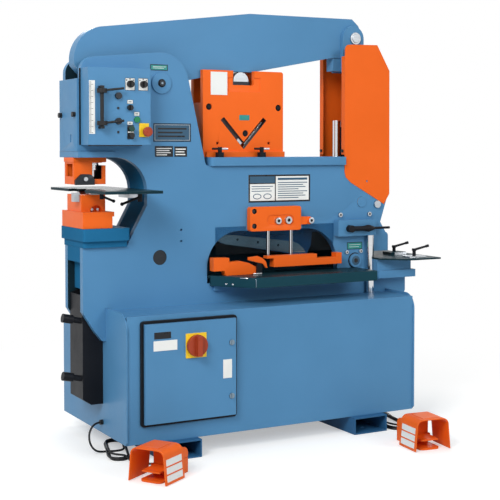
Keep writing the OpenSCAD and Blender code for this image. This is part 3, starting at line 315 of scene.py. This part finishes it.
class Kit:
    """A piece built up from small rounded solids, each with its material, in millimetres of one frame."""

    def __init__(self, place=m):
        self.bm = bmesh.new()
        self.materials = []
        self.place = place

    def _index(self, material):
        if material not in self.materials:
            self.materials.append(material)
        return self.materials.index(material)

    def _finish(self, verts, material, rounding):
        index = self._index(material)
        faces = {f for v in verts for f in v.link_faces}
        for f in faces:
            f.material_index = index
        if rounding:
            self.bm.edges.index_update()
            edges = sorted({e for f in faces for e in f.edges}, key=lambda e: e.index)
            sharp = [e for e in edges if e.calc_face_angle(0) > SHARP]
            bmesh.ops.bevel(self.bm, geom=sharp, offset=rounding * MM, segments=2, profile=0.5, affect="EDGES",
                            clamp_overlap=True)

    def box(self, material, x0, x1, y0, y1, z0, z1, rounding=0.4):
        verts = bmesh.ops.create_cube(self.bm, size=1.0)["verts"]
        for v in verts:
            v.co = self.place(*(a if c < 0 else b for c, a, b in zip(v.co, (x0, y0, z0), (x1, y1, z1))))
        self._finish(verts, material, rounding)

    def rod(self, material, a, b, r0, r1=None, sides=28, rounding=0.5):
        a, b = self.place(*a), self.place(*b)
        axis = b - a
        turn = axis.to_track_quat("Z", "Y").to_matrix().to_4x4()
        made = bmesh.ops.create_cone(self.bm, cap_ends=True, segments=sides, radius1=r0 * MM,
                                     radius2=(r0 if r1 is None else r1) * MM, depth=axis.length,
                                     matrix=Matrix.Translation((a + b) / 2) @ turn)
        self._finish(made["verts"], material, rounding)

    def plate(self, material, outline, y0, y1, rounding=0.4):
        """A flat plate with an outline of (x, z) points between two y planes."""
        verts = [self.bm.verts.new(self.place(x, y0, z)) for x, z in outline]
        face = self.bm.faces.new(verts)
        moved = bmesh.ops.extrude_face_region(self.bm, geom=[face])["geom"]
        back = [v for v in moved if isinstance(v, bmesh.types.BMVert)]
        for v in back:
            v.co.y += (y1 - y0) * MM
        bmesh.ops.recalc_face_normals(self.bm, faces=list({f for v in verts + back for f in v.link_faces}))
        self._finish(verts + back, material, rounding)

    def frame(self, material, x0, x1, z0, z1, width, y0, y1):
        """Four thin strips round a plate that faces the front."""
        self.box(material, x0, x1, y0, y1, z0, z0 + width, 0)
        self.box(material, x0, x1, y0, y1, z1 - width, z1, 0)
        self.box(material, x0, x0 + width, y0, y1, z0 + width, z1 - width, 0)
        self.box(material, x1 - width, x1, y0, y1, z0 + width, z1 - width, 0)

    def done(self, name, body="machine"):
        return add_mesh(name, self.bm, self.materials, body)


# ---- camera ----------------------------------------------------------------------------------
camera = bpy.data.cameras.new("camera")
camera.sensor_width = 36.0
camera.lens = 83.8
camera.shift_y = -0.123
camera_object = bpy.data.objects.new("camera", camera)
camera_object.location = (-2.566, -4.788, 1.306)
camera_object.rotation_euler = (math.radians(88.0), 0.0, math.radians(-28.70))
bpy.context.scene.collection.objects.link(camera_object)
bpy.context.scene.camera = camera_object

# ---- foot-switch cords -----------------------------------------------------------------------
CORD_D = 9.0
LIFT = 9.3                # how far a turn rises where it lies over the cord's first stretch


def curve_through(points, n=6):
    """Points of a smooth curve through a route."""
    out = []
    for i in range(len(points) - 1):
        p0, p1 = Vector(points[i]), Vector(points[i + 1])
        m0 = (p1 - Vector(points[max(i - 1, 0)])) / 2
        m1 = (Vector(points[min(i + 2, len(points) - 1)]) - p0) / 2
        for k in range(n):
            t = k / n
            out.append((2 * t**3 - 3 * t**2 + 1) * p0 + (t**3 - 2 * t**2 + t) * m0
                       + (3 * t**2 - 2 * t**3) * p1 + (t**3 - t**2) * m1)
    return out + [Vector(points[-1])]


def evened(points, step, rounds):
    """The line with points a step apart, and its small kinks smoothed out."""
    line = [points[0]]
    left = step
    for a, b in zip(points, points[1:]):
        length = (b - a).length
        while left < length:
            line.append(a.lerp(b, left / length))
            left += step
        left -= length
    line.append(points[-1])
    for _ in range(rounds):
        line = [line[0], *[(a + 2 * b + c) / 4 for a, b, c in zip(line, line[1:], line[2:])], line[-1]]
    return line


def between(keys, u):
    """Radius and height of the winding at u, from its list of (u, radius, height)."""
    for (u0, r0, z0), (u1, r1, z1) in zip(keys, keys[1:]):
        if u <= u1:
            t = (u - u0) / (u1 - u0)
            return r0 + (r1 - r0) * t, z0 + (z1 - z0) * t
    return keys[-1][1:]


def winding(half, keys, crossing):
    """Turns of an oval hank in its own plane. Each whole number of u is a run or an end loop:
    down the left run, round the front, up the right run, round the back."""
    out = []
    u = keys[0][0]
    while u <= keys[-1][0] + 1e-6:
        r, z = between(keys, u)
        part, t = int(u) % 4, u - int(u)
        if part == 0:
            x, y = -r, half - 2 * half * t
        elif part == 1:
            a = math.pi * (1 + t)
            x, y = r * math.cos(a), -half + r * math.sin(a)
        elif part == 2:
            x, y = r, -half + 2 * half * t
        else:
            a = math.pi * t
            x, y = r * math.cos(a), half + r * math.sin(a)
        near = (Vector((x, y)) - Vector(crossing)).length
        out.append(Vector((x, y, z + LIFT * math.exp(-(near / 40.0) ** 2))))
        u += 0.05
    return out


def cord_line(route_a, entry, half, keys, crossing, leave, route_b, centre, turn):
    """From the machine's gland to the hank, round its turns and on to the foot switch, in metres."""
    c, s = math.cos(math.radians(turn)), math.sin(math.radians(turn))

    def place(p):
        return Vector((centre[0] + c * p[0] - s * p[1], centre[1] + s * p[0] + c * p[1], p[2]))
    turns = [place(p) for p in winding(half, keys, crossing)]
    first = curve_through([*route_a, *[place(p) for p in entry], turns[0], turns[2]])[:-6]
    last = curve_through([turns[-3], turns[-1], *[place(p) for p in leave], *route_b])[6:]
    return [p * MM for p in evened([*first, *turns[1:-1], *last], 7.0, 6)]


def cord_piece(name, line):
    curve = bpy.data.curves.new(name, "CURVE")
    curve.dimensions = "3D"
    curve.bevel_depth = CORD_D * MM / 2
    curve.bevel_resolution = 4
    curve.use_fill_caps = True
    spline = curve.splines.new("POLY")
    spline.points.add(len(line) - 1)
    for point, p in zip(spline.points, line):
        point.co = (*p, 1.0)
    spline.use_smooth = True
    curve.materials.append(JACKET)
    obj = bpy.data.objects.new(name, curve)
    bpy.context.scene.collection.objects.link(obj)
    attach(obj, "machine")
    return obj


LEFT_A = [(-742, -111, 124), (-772, -113, 118), (-798, -126, 84), (-800, -146, 42), (-776, -156, 12), (-728, -154, 6)]
LEFT_B = [(-702, -350, 6), (-672, -404, 6), (-622, -437, 7), (-570, -443, 12), (-533, -456, 22),
          (-521, -485, 34), (-540, -520, 46), (-568, -538, 50)]
RIGHT_A = [(640, -60, 64), (644, -66, 38), (656, -88, 14), (672, -118, 6), (676, -134, 6)]
RIGHT_B = [(598, -460, 7), (578, -500, 22), (553, -536, 44), (541, -566, 50)]
left_line = cord_line(
    LEFT_A, [(-8, -14, 4.6), (24, 0, 4.6)], 125,
    [(2.60, 34.5, 4.5), (5.0, 34.5, 4.5), (6.0, 44.5, 4.5), (8.6, 44.5, 4.5), (9.0, 44.5, 13.5),
     (10.0, 39.5, 13.5), (10.3, 39.5, 12.0), (12.62, 39.5, 12.0)],
    (-40, -17), [(-30, -75, 14), (-6, -124, 18), (24, -160, 23), (38, -182, 16)], LEFT_B, (-682, -150), -18)
right_line = cord_line(
    RIGHT_A, [(-6, 110, 4.6), (-30, 50, 4.6)], 105,
    [(0.5, 44.5, 4.5), (3.0, 44.5, 4.5), (4.0, 54.5, 4.5), (6.7, 54.5, 4.5), (7.0, 54.5, 13.5), (8.0, 49.5, 13.5),
     (8.2, 49.5, 12.0), (10.3, 49.5, 12.0), (10.9, 44.5, 13.5), (12.0, 40.5, 12.6), (12.5, 40.5, 12.6)],
    (0, 152), [(-32, -50, 14), (-24, -108, 18), (-19, -148, 23), (-19, -168, 16)], RIGHT_B, (650, -280), -10)
left_cord = cord_piece("left_foot_cord", left_line)
right_cord = cord_piece("right_foot_cord", right_line)
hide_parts("foot_cords", "foot_cord_hanks")

# ---- floor, backdrop and lights --------------------------------------------------------------


def stage_material(name, code):
    """Pale matt floor that keeps shadows and turns plain white far out, for the camera and for mirrors."""
    g = Graph(name)
    g.shader.inputs["Base Color"].default_value = linear(code)
    g.shader.inputs["Roughness"].default_value = 0.9
    g.shader.inputs["Specular IOR Level"].default_value = 0.0
    path = g.add("ShaderNodeLightPath")
    seen = path.outputs["Is Camera Ray"]
    for other in ("Is Glossy Ray", "Is Transmission Ray"):
        most = g.add("ShaderNodeMath", operation="MAXIMUM")
        g.link(seen, most.inputs[0])
        g.link(path.outputs[other], most.inputs[1])
        seen = most.outputs[0]
    lift = g.add("ShaderNodeMath", operation="MULTIPLY")
    lift.inputs[1].default_value = 0.42
    g.link(seen, lift.inputs[0])
    glow = g.add("ShaderNodeEmission")
    g.link(lift.outputs[0], glow.inputs["Strength"])
    near = g.add("ShaderNodeAddShader")
    g.link(g.shader.outputs[0], near.inputs[0])
    g.link(glow.outputs[0], near.inputs[1])
    reach = g.add("ShaderNodeVectorMath", operation="LENGTH")
    g.link(g.place, reach.inputs[0])
    fade = g.add("ShaderNodeMath", operation="MULTIPLY")
    g.link(seen, fade.inputs[0])
    g.link(g.ramp(reach.outputs["Value"], 0.0, 1.0, 1.1, 2.6), fade.inputs[1])
    far = g.add("ShaderNodeEmission")
    blend = g.add("ShaderNodeMixShader")
    g.link(fade.outputs[0], blend.inputs[0])
    g.link(near.outputs[0], blend.inputs[1])
    g.link(far.outputs[0], blend.inputs[2])
    g.link(blend.outputs[0], g.out.inputs["Surface"])
    return g.material


bm = bmesh.new()
bmesh.ops.create_grid(bm, x_segments=1, y_segments=1, size=14.0)
mesh = bpy.data.meshes.new("floor")
bm.to_mesh(mesh)
bm.free()
mesh.materials.append(stage_material("pale_floor", "dadad8"))
floor = bpy.data.objects.new("floor", mesh)
floor.location = (0, 0, -0.0005)
bpy.context.scene.collection.objects.link(floor)



def studio_world(colour, strength):
    """A pale sky that lights the object, and plain white where the camera, mirrors and glass look at it."""
    world = bpy.data.worlds.new("studio")
    world.use_nodes = True
    tree = world.node_tree
    tree.nodes.clear()
    sky, white = (tree.nodes.new("ShaderNodeBackground") for _ in range(2))
    sky.inputs["Color"].default_value = colour
    sky.inputs["Strength"].default_value = strength
    white.inputs["Color"].default_value = (1.0, 1.0, 1.0, 1.0)
    white.inputs["Strength"].default_value = 1.0
    path = tree.nodes.new("ShaderNodeLightPath")
    seen = path.outputs["Is Camera Ray"]
    for other in ("Is Glossy Ray", "Is Transmission Ray"):
        most = tree.nodes.new("ShaderNodeMath")
        most.operation = "MAXIMUM"
        tree.links.new(seen, most.inputs[0])
        tree.links.new(path.outputs[other], most.inputs[1])
        seen = most.outputs[0]
    pick = tree.nodes.new("ShaderNodeMixShader")
    for a, b in zip((seen, sky.outputs[0], white.outputs[0]), pick.inputs):
        tree.links.new(a, b)
    tree.links.new(pick.outputs[0], tree.nodes.new("ShaderNodeOutputWorld").inputs["Surface"])
    return world


bpy.context.scene.world = studio_world((0.92, 0.96, 1.0, 1.0), 0.34)


def soft_light(name, place, target, size, power):
    lamp = bpy.data.lights.new(name, "AREA")
    lamp.shape = "RECTANGLE"
    lamp.size, lamp.size_y = size
    lamp.energy = power
    obj = bpy.data.objects.new(name, lamp)
    obj.location = place
    obj.rotation_euler = (Vector(target) - Vector(place)).to_track_quat("-Z", "Y").to_euler()
    bpy.context.scene.collection.objects.link(obj)


soft_light("key", (-5.2, -4.0, 4.9), (0, 0, 1.1), (3.0, 3.0), 350)
soft_light("fill", (2.6, -8.5, 4.6), (0, 0, 1.0), (4.0, 3.0), 250)
soft_light("top", (-0.6, 1.0, 7.0), (0, 0, 1.0), (4.0, 4.0), 110)
soft_light("rear", (2.5, 7.0, 4.5), (0, 0, 1.0), (4.0, 3.0), 190)
bpy.context.scene.view_settings.view_transform = "Standard"


# ---- dressing of the CAD nodes ---------------------------------------------------------------


def zone(material, x0, x1, y0, y1, z0, z1):
    """Faces of a node inside this box, in millimetres from the mid plane and base top, get this material."""
    return material, m(x0, y0, z0), m(x1, y1, z1)


def zone_floor(material, x0, x1, y0, y1, z0, z1):
    """The same in millimetres from the floor."""
    return material, floor_mm(x0, y0, z0), floor_mm(x1, y1, z1)


def spots(material, centres, half, y0, y1):
    """A square zone round each (x, z) centre."""
    return [zone(material, x - half, x + half, y0, y1, z - half, z + half) for x, z in centres]


BOX_FRONT = -197.1        # just behind the control box's front face
STUDS = (59, 180)         # x of the two hold-down studs
BRIDGE_SCREWS = ((103, 362), (157, 364), (279, 359))
WHOLE_PLATE = (-900, 900, -610, 1316)

base_glands = [zone_floor(PLASTIC, -745, -730, -123, -99, 112, 136), zone_floor(PLASTIC, 628, 652, -72, -48, 61, 76)]
dress("base_cabinet", BLUE, base_glands, bevel=0.002)
dress("fork_tubes", DARK_BLUE_AND_ARM_SHADE, bevel=0.002)
# Each side plate's inner face gets the painted shade of the gap between the plates
for plate, y in (("front_side_plate", -77), ("rear_side_plate", 77)):
    x0, x1, z0, z1 = WHOLE_PLATE
    dress(plate, BLUE, [zone(SHADED_GAP, x0, x1, y - 0.1, y + 0.1, z0, z1)], bevel=0.002)
# The liner carries painted shade, darker than the plates' blue
dress("throat_liner", SHADED_LINER, bevel=0.0015)
dress("punch_head", BLUE, [zone(PLASTIC, -869, -853, y - 12, y + 12, 825, 849) for y in (-84, 84)], bevel=0.0015)
dress("deck_plate", BLUE, [zone(CHROME, 491, 533, -21, 21, 654, 829)], bevel=0.003)
dress("frame_pins", STEEL, [
    zone(BLUE, -515, -421, -118, -109, 930, 1024), zone(BLUE, 511, 579, -121, -109, 124, 192),
    zone(BLUE, 557, 609, -114, -109, 411, 463), zone(DARK_STEEL, -509, -441, -106, -92, 183, 251),
    zone(DARK_STEEL, -482, -454, -125, -117, 963, 991)], bevel=0.0008)
dress("punch_cylinder", HIDDEN, bevel=0.001)
dress("punch_ram", CHROME, bevel=0.0006)
dress("stripper", ORANGE, [
    zone(STEEL, -813, -793, -79, -71.9, 553, 573), zone(DARK_STEEL, -849, -761, -73, -57.9, 537, 585),
    zone(DARK_STEEL, -840.2, -716.8, -44.2, 44.2, 551.8, 636.2)], bevel=0.0012)
dress("die_block", ORANGE, bevel=0.0015)
dress("lower_tooling", TOOL, [zone(STEEL, -781, -742, -69, -59, 426, 440)], bevel=0.0006)
dress("punch_table", TABLE, [
    zone(STEEL, -862, -700, -120, 90, 429, 505.9), zone(STEEL, -601, -530, -61, 61, 477, 505.9)], bevel=0.001)
for lever in ("table_lever_left", "table_lever_right", "notcher_clamp_front", "notcher_clamp_rear"):
    dress(lever, BLACK, bevel=0.0005)
dress("angle_shear_housing", ORANGE, [
    *spots(BLACK, ((-210, 881), (150, 881)), 15.3, -60.2, -51.8),
    *spots(TOOL, ((-210, 881), (150, 881)), 9.3, -59.3, -51.8),
    *spots(BLACK, ((-24, 762),), 15.4, -60.2, -53.8),
    *spots(BLACK, ((-167, 717), (99, 717)), 7.4, -60.2, -47.8)], bevel=0.0012)
dress("angle_ram", DARK_STEEL, [
    zone(STEEL, -73, 7, -36, 36, 1000.1, 1043), zone(STEEL, 112, 138, -13, 13, 380, 700)], bevel=0.0008)
dress("clamp_blocks", BLACK, bevel=0.001)
for screw in ("clamp_screw_left", "clamp_screw_right"):
    lo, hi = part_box(screw)
    middle = (lo[0] + hi[0]) / 2
    right_arm = (CHROME, (middle + 0.006, lo[1], lo[2]), (hi[0] + 0.001, hi[1], hi[2]))
    dress(screw, BLACK, [right_arm], bevel=0.0006)
dress("ram_guard", ORANGE, [zone(PLASTIC, 477, 485, y - 8, y + 8, 674, 690) for y in (-95, 95)], bevel=0.0008)
dress("main_cylinder_barrel", BLACK, bevel=0.001)
dress("main_cylinder_rod", CHROME, bevel=0.001)
dress("clevis_pin", STEEL, bevel=0.001)
dress("swing_beam", BLUE, [
    zone(STEEL, -539, -397, y0, y1, 906, 1048) for y0, y1 in ((-77, -32), (32, 77))], bevel=0.003)
# The shear arm's dark blue is painted shade
dress("shear_arm", DARK_BLUE_AND_ARM_SHADE, bevel=0.001)
dress("shear_table", TABLE, [
    zone(TABLE_EDGE, -98, 549, -294.5, -293.5, 78, 126), zone(TABLE_EDGE, -233, -91, -294.5, -108, 78, 126),
    zone(BLUE, -217, -123, -121.5, -108, 55, 114), zone(BLUE, 469, 483, -260, -108, 81, 114)], bevel=0.0012)
dress("hold_down_bridge", ORANGE, [
    *spots(STEEL, BRIDGE_SCREWS, 18, -148.2, -133.8), *spots(BLACK_PRINT_AND_SHADE, BRIDGE_SCREWS, 9.5, -148.2, -141.8),
    *spots(DARK_STEEL, ((-20, 341), (-20, 408)), 13, -139.1, -124.8)], bevel=0.0012)
dress("hold_down_bar", ORANGE, [
    *[zone(CHROME, x - 9, x + 9, -133, -115, 199.9, 403) for x in STUDS],
    # Black stripes down each stud, on its front and along its left side, are painted dark reflection and shade on the
    # bright rods
    *[zone(BLACK_PRINT_AND_SHADE, x - 2.3, x + 2.3, -132.2, -130, 199.9, 403) for x in STUDS],
    *[zone(BLACK_PRINT_AND_SHADE, x - 8.1, x - 6.2, -130, -118, 199.9, 403) for x in STUDS]], bevel=0.0012)
dress("shear_guides", ORANGE, [zone(BLACK, -22.1, 4.1, -169.1, -120.9, 124.9, 175.1)], bevel=0.0012)
dress("notcher_head", BLUE, [zone(CHROME, 602, 640, -147, -109, -1, 278.1)], bevel=0.002)
dress("notcher_handle", BLACK, bevel=0.0008)
dress("notcher_punch", TOOL, bevel=0.001)
dress("notcher_table", TABLE, [
    zone(STEEL, 773.9, 872.1, -240.1, -175.9, 169.9, 176.2), zone(STEEL, 791, 863, -94.1, -90, 169.9, 183)],
      bevel=0.001)
dress("slug_bin", BLACK, bevel=0.001)
dress("control_box", BLUE, [
    zone(PLASTIC, -795, -777, -230, BOX_FRONT, 775, 955),
    *spots(DARK_STEEL, ((-705, 914), (-705, 808)), 14.5, -210, BOX_FRONT),
    *spots(PLASTIC, ((-705, 863), (-705, 762)), 5.5, -201, BOX_FRONT),
    *spots(GREEN, ((-621, 815),), 14, -208, BOX_FRONT)], bevel=0.0015)
for lever in ("stroke_lever_upper", "stroke_lever_lower"):
    dress(lever, PLASTIC, bevel=0.0006)
for knob in ("selector_left", "selector_right", "selector_small", "stop_button"):
    dress(knob, PLASTIC, bevel=0.0008)
dress("start_button", GREEN_DARK, bevel=0.001)
dress("emergency_stop", RED, bevel=0.004)
dress("enclosure_frame", BLACK, [zone_floor(GREY_BOX, -640, -246, -371.5, -180, 175, 562)], bevel=0.001)
dress("enclosure_door", BLUE, [
    zone_floor(YELLOW, -472, -374, -405, -400.3, 422, 528),
    zone_floor(BLACK_PRINT_AND_SHADE, -616, -538, -402, -400.3, 513, 543),
    zone_floor(WHITE, -619, -509, -402, -400.3, 463, 507), zone_floor(WHITE, -295, -251, -402, -400.3, 321, 403)],
      bevel=0.0015)
dress("control_gear", CONTROL, bevel=0.001)
for latch in ("latch_upper", "latch_lower"):
    dress(latch, LATCH_STEEL_AND_HIGHLIGHT, bevel=0.0006)
dress("main_switch_knob", RED, bevel=0.002)
dress("foot_switch_hoods", ORANGE, bevel=0.0015)
for pedal in ("treadle_left", "treadle_right"):
    dress(pedal, ORANGE, bevel=0.0012)
dress("window_shield", SHIELD, bevel=0.0)
dress("label_plates", WHITE, [
    zone(TEAL, -520, -435, -111, -109, 1031, 1059), zone(TEAL, 500, 588, -111, -109, 210, 246),
    zone(LABEL_BLUE, -506, -324, -111, -109, 722, 804), zone(BLACK_PRINT_AND_SHADE, -499, -411, -111, -109, 656, 705),
    zone(BLACK_PRINT_AND_SHADE, -406, -343, -111, -109, 656, 703), zone(TEAL, -57, -3, -63, -60, 821, 847),
    zone(YELLOW, -611, -565, -201, -196.9, 741, 801)], bevel=0.0)

# ---- prints on the plates --------------------------------------------------------------------
PLATE_Y = -110.0          # face of the label plates on the front side plate
PANEL_Y = -198.0          # face of those on the control box
PRINT = 0.35              # how far a print stands out of its plate


def printed(kit, material, x0, x1, z0, z1, y=PLATE_Y):
    kit.box(material, x0, x1, y - PRINT, y + 0.2, z0, z1, 0)


def border(kit, material, x0, x1, z0, z1, width, y=PLATE_Y):
    kit.frame(material, x0, x1, z0, z1, width, y - PRINT, y + 0.2)


def lines(kit, material, x0, x1, z0, z1, count, height, y=PLATE_Y, ends=(1.0, 0.86, 0.94, 0.7)):
    """Bars in place of print, of uneven length."""
    for i in range(count):
        z = z1 - (z1 - z0) * (i + 0.5) / count
        printed(kit, material, x0, x0 + (x1 - x0) * ends[i % len(ends)], z - height / 2, z + height / 2, y)


def oval(x, z, half_x, half_z, sides=16):
    turns = [i * math.tau / sides for i in range(sides)]
    return [(x + half_x * math.cos(a), z + half_z * math.sin(a)) for a in turns]


prints = Kit()
# Big plate above the flat-bar shear: dark frame, divided at two fifths, header field and bars
x0, x1, z0, z1 = -35, 293, 447, 573
border(prints, BLACK_PRINT_AND_SHADE, x0, x1, z0, z1, 7.5)
printed(prints, BLACK_PRINT_AND_SHADE, x0 + 138, x0 + 143, z0 + 7, z1 - 7)
printed(prints, LABEL_BLUE, x0 + 7.5, x0 + 138, z1 - 38, z1 - 7.5)
printed(prints, BLACK_PRINT_AND_SHADE, x0 + 7.5, x0 + 138, z1 - 42, z1 - 38)
lines(prints, LABEL_BLUE, x0 + 16, x0 + 128, z0 + 46, z1 - 48, 3, 3.2)
for x in (x0 + 45, x0 + 99):
    prints.plate(LABEL_BLUE, oval(x, z0 + 27, 22, 13), PLATE_Y - PRINT, PLATE_Y, 0)
    prints.plate(WHITE, oval(x, z0 + 27, 18, 9.5), PLATE_Y - 1.6 * PRINT, PLATE_Y, 0)
printed(prints, LABEL_BLUE, x0 + 154, x1 - 16, z1 - 25, z1 - 15)
lines(prints, LABEL_BLUE, x0 + 154, x1 - 16, z0 + 14, z1 - 32, 8, 3.6)
# Blue plate with an inner line, the two dark plates below it and the small green-blue plates
border(prints, BLACK_PRINT_AND_SHADE, -505, -325, 723, 803, 3)
border(prints, WHITE, -499, -331, 729, 797, 1.2)
lines(prints, BLACK_PRINT_AND_SHADE, -484, -346, 738, 788, 3, 7)
lines(prints, WHITE, -491, -419, 661, 698, 4, 4)
lines(prints, WHITE, -399, -350, 661, 696, 3, 5)
for a, b, c, d in ((-519, -436, 1032, 1058), (501, 587, 211, 245)):
    border(prints, BLACK_PRINT_AND_SHADE, a, b, c, d, 3)
    lines(prints, WHITE, a + 12, b - 10, c + 7, d - 7, 2, 1.8)
# Scale of the stroke rod, with a long tick at every fifth
for i in range(43):
    tick, z = 17 if i % 5 == 0 else 9, 759 + i * 5
    printed(prints, BLACK_PRINT_AND_SHADE, -833.2, -833.2 + tick, z - 0.7, z + 0.7, PANEL_Y)
# Fields round the selectors and under the push buttons
for x in (-651, -591):
    border(prints, BLACK_PRINT_AND_SHADE, x - 22, x + 22, 938, 990, 1.4, PANEL_Y)
    for dx, z in ((-15, 981), (0, 985.5), (15, 981)):
        printed(prints, BLACK_PRINT_AND_SHADE, x + dx - 2.4, x + dx + 2.4, z - 2.4, z + 2.4, PANEL_Y)
for a, b, c, d in ((-664, -638, 881, 898), (-633, -608, 831, 848), (-664, -639, 793, 807)):
    border(prints, BLACK_PRINT_AND_SHADE, a, b, c, d, 1.0, PANEL_Y)
    printed(prints, BLACK_PRINT_AND_SHADE, a + 6, b - 6, (c + d) / 2 - 1.6, (c + d) / 2 + 1.6, PANEL_Y)
prints.done("label_prints")

# ---- sockets, blades and trim ----------------------------------------------------------------


def disc(kit, material, x, z, r, y0, y1, sides=32, rounding=0.0):
    """A flat round or many-sided disc that faces the front."""
    kit.rod(material, (x, y0, z), (x, y1, z), r, sides=sides, rounding=rounding)


fittings = Kit()
# Pivot cap's bolt, sockets of the plate screws, and the round cap beside the notcher
disc(fittings, BLACK, -468, 977, 18, -117.2, -119, rounding=0.6)
disc(fittings, LATCH_STEEL_AND_HIGHLIGHT, -468, 977, 4.5, -123.8, -124.6, sides=20)
for x, z, r in ((460, 378, 11), (626, 378, 11), (497, 199, 9), (577, 201, 9)):
    disc(fittings, BLACK_PRINT_AND_SHADE, x, z, r * 0.5, -117.5, -118.3, sides=6)
disc(fittings, BLACK, 545, 158, 37, -108.5, -111.5, sides=48, rounding=0.5)
disc(fittings, LABEL_BLUE, 545, 158, 22, -119.5, -120.6, sides=40, rounding=0.3)
disc(fittings, BLACK_PRINT_AND_SHADE, 545, 158, 12, -120, -121.2, sides=6)
fittings.done("screw_sockets")

# Blade on the shear arm's front face, with three dark discs of painted shade where its holes are
ARM_Y = -32.0
blade = Kit()
blade.plate(TOOL, [(-210, 306), (-60, 295), (247, 254), (277, 242), (306, 219), (316, 200), (218, 204), (126, 219),
                   (-115, 255), (-145, 268), (-210, 300)], ARM_Y - 0.35, ARM_Y + 1.0, 0)
for x, z in ((-50, 274), (57, 257.5), (166, 240)):
    disc(blade, BLACK_PRINT_AND_SHADE, x, z, 6, ARM_Y, ARM_Y - 0.45, sides=20)
blade.done("arm_blade", "shear_arm")

# Black strips along the walls of the V slot, painted shade inside the slot; the angle blade's edge and its backing
# piece
VEE, VEE_SLOPE, VEE_HALF, VEE_LENGTH = (-33, 706), math.radians(48), 11.0, 165.0
SHADE_STRIP = 1.4              # thickness of a strip of painted shade
SHADE_STRIP_Y = (-60.3, -38)


def along_vee(side, t, off):
    """Point (x, z) at distance t up one arm of the V slot and off its middle line, towards the inside of the V."""
    c, k = math.cos(VEE_SLOPE), math.sin(VEE_SLOPE)
    return VEE[0] + side * (t * c - off * k), VEE[1] + t * k + off * c


def vee_strip(kit, material, side, t0, t1, off0, off1, y0, y1):
    corners = [along_vee(side, t, off) for t, off in ((t0, off0), (t1, off0), (t1, off1), (t0, off1))]
    kit.plate(material, corners, y0, y1, 0)


vee = Kit()
corner = VEE_HALF * math.tan(VEE_SLOPE)
for side in (-1, 1):
    vee_strip(vee, BLACK, side, -VEE_HALF, VEE_LENGTH, -VEE_HALF, -VEE_HALF + SHADE_STRIP, *SHADE_STRIP_Y)
    vee_strip(vee, BLACK, side, corner, VEE_LENGTH, VEE_HALF - SHADE_STRIP, VEE_HALF, *SHADE_STRIP_Y)
    vee_strip(vee, BLACK, side, VEE_LENGTH - SHADE_STRIP, VEE_LENGTH, -VEE_HALF, VEE_HALF, *SHADE_STRIP_Y)
vee_strip(vee, STEEL, 1, 14, 150, -5.6, -3.0, -44, -40)
vee_strip(vee, STEEL, -1, 12, 40, -VEE_HALF + SHADE_STRIP, 5.0, -52, -40)
vee.done("vee_painted_shade_and_blade_edge")

# Trim of the shear table: two screws and a steel strip on the slanting skirt, a strip at the stop's foot, and a thin
# light rod up the skirt's corner, a painted highlight on that edge
SLANT_FOOT, SLANT_RUN, SLANT_OUT = Vector((-97.0, -294.0)), Vector((-0.615, 0.788)), Vector((-0.788, -0.615))


def on_slant(t, out, z):
    """Point at distance t up the slanting skirt and out of its face, at height z."""
    at = SLANT_FOOT + SLANT_RUN * t + SLANT_OUT * out
    return at.x, at.y, z


table = Kit()
for t in (112, 145):
    table.rod(CHROME, on_slant(t, -0.5, 91), on_slant(t, 3.0, 91), 4.5, sides=24, rounding=0.6)
table.rod(CHROME, on_slant(38, 1.6, 121), on_slant(76, 1.6, 121), 2.4, sides=16, rounding=0.4)
table.box(CHROME, -44, 2, -171.5, -169.2, 125.2, 131, 0.4)
# Painted highlight: a thin light rod standing in for the highlight on the skirt's corner edge
table.rod(LATCH_STEEL_AND_HIGHLIGHT, (-97, -294.2, 84), (-97, -294.2, 119), 1.6, sides=12, rounding=0.3)
table.done("shear_table_trim_and_painted_highlight")


def face_span(*nodes):
    """Left, right, low and high of the nodes' boxes together, in the millimetres of m()."""
    boxes = [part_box(node) for node in nodes]
    x0, x1 = min(lo[0] for lo, _ in boxes), max(hi[0] for _, hi in boxes)
    z0, z1 = min(lo[2] for lo, _ in boxes), max(hi[2] for _, hi in boxes)
    return x0 / MM, x1 / MM, (z0 - BASE_TOP) / MM, (z1 - BASE_TOP) / MM


# Dark strips beside and below the control box, painted shade in the corner where the box meets the plate and a
# painted shadow under its front edge; the dark backing of its two push buttons with a light band
trim = Kit()
x0, x1, z0, z1 = face_span("control_box")
trim.box(BLACK_PRINT_AND_SHADE, x0 - 7, x0, -111, -109, z0, z1, 0)
trim.box(BLACK_PRINT_AND_SHADE, x0 + 1, x1 - 40, -195, -193, z0 - 4, z0, 0)
x0, x1, z0, z1 = face_span("start_button", "stop_button")
*_, stop_top = face_span("stop_button")
_, _, start_foot, _ = face_span("start_button")
band = (stop_top + start_foot) / 2
trim.box(PLASTIC, x0 - 3, x1 + 3, -199, -197.5, z0 - 3, z1 + 3, 0.6)
trim.box(WHITE, x0 - 1, x1 + 1, -200, -198.8, band - 3, band + 3, 0)
trim.done("control_box_trim_and_painted_shade")

# Leaf that carries the shear table on into the left end of the window
leaf = Kit()
leaf.box(TABLE, -240, -157.2, -109, -40, 113.2, 124.8, 0.6)
leaf.done("shear_table_leaf")
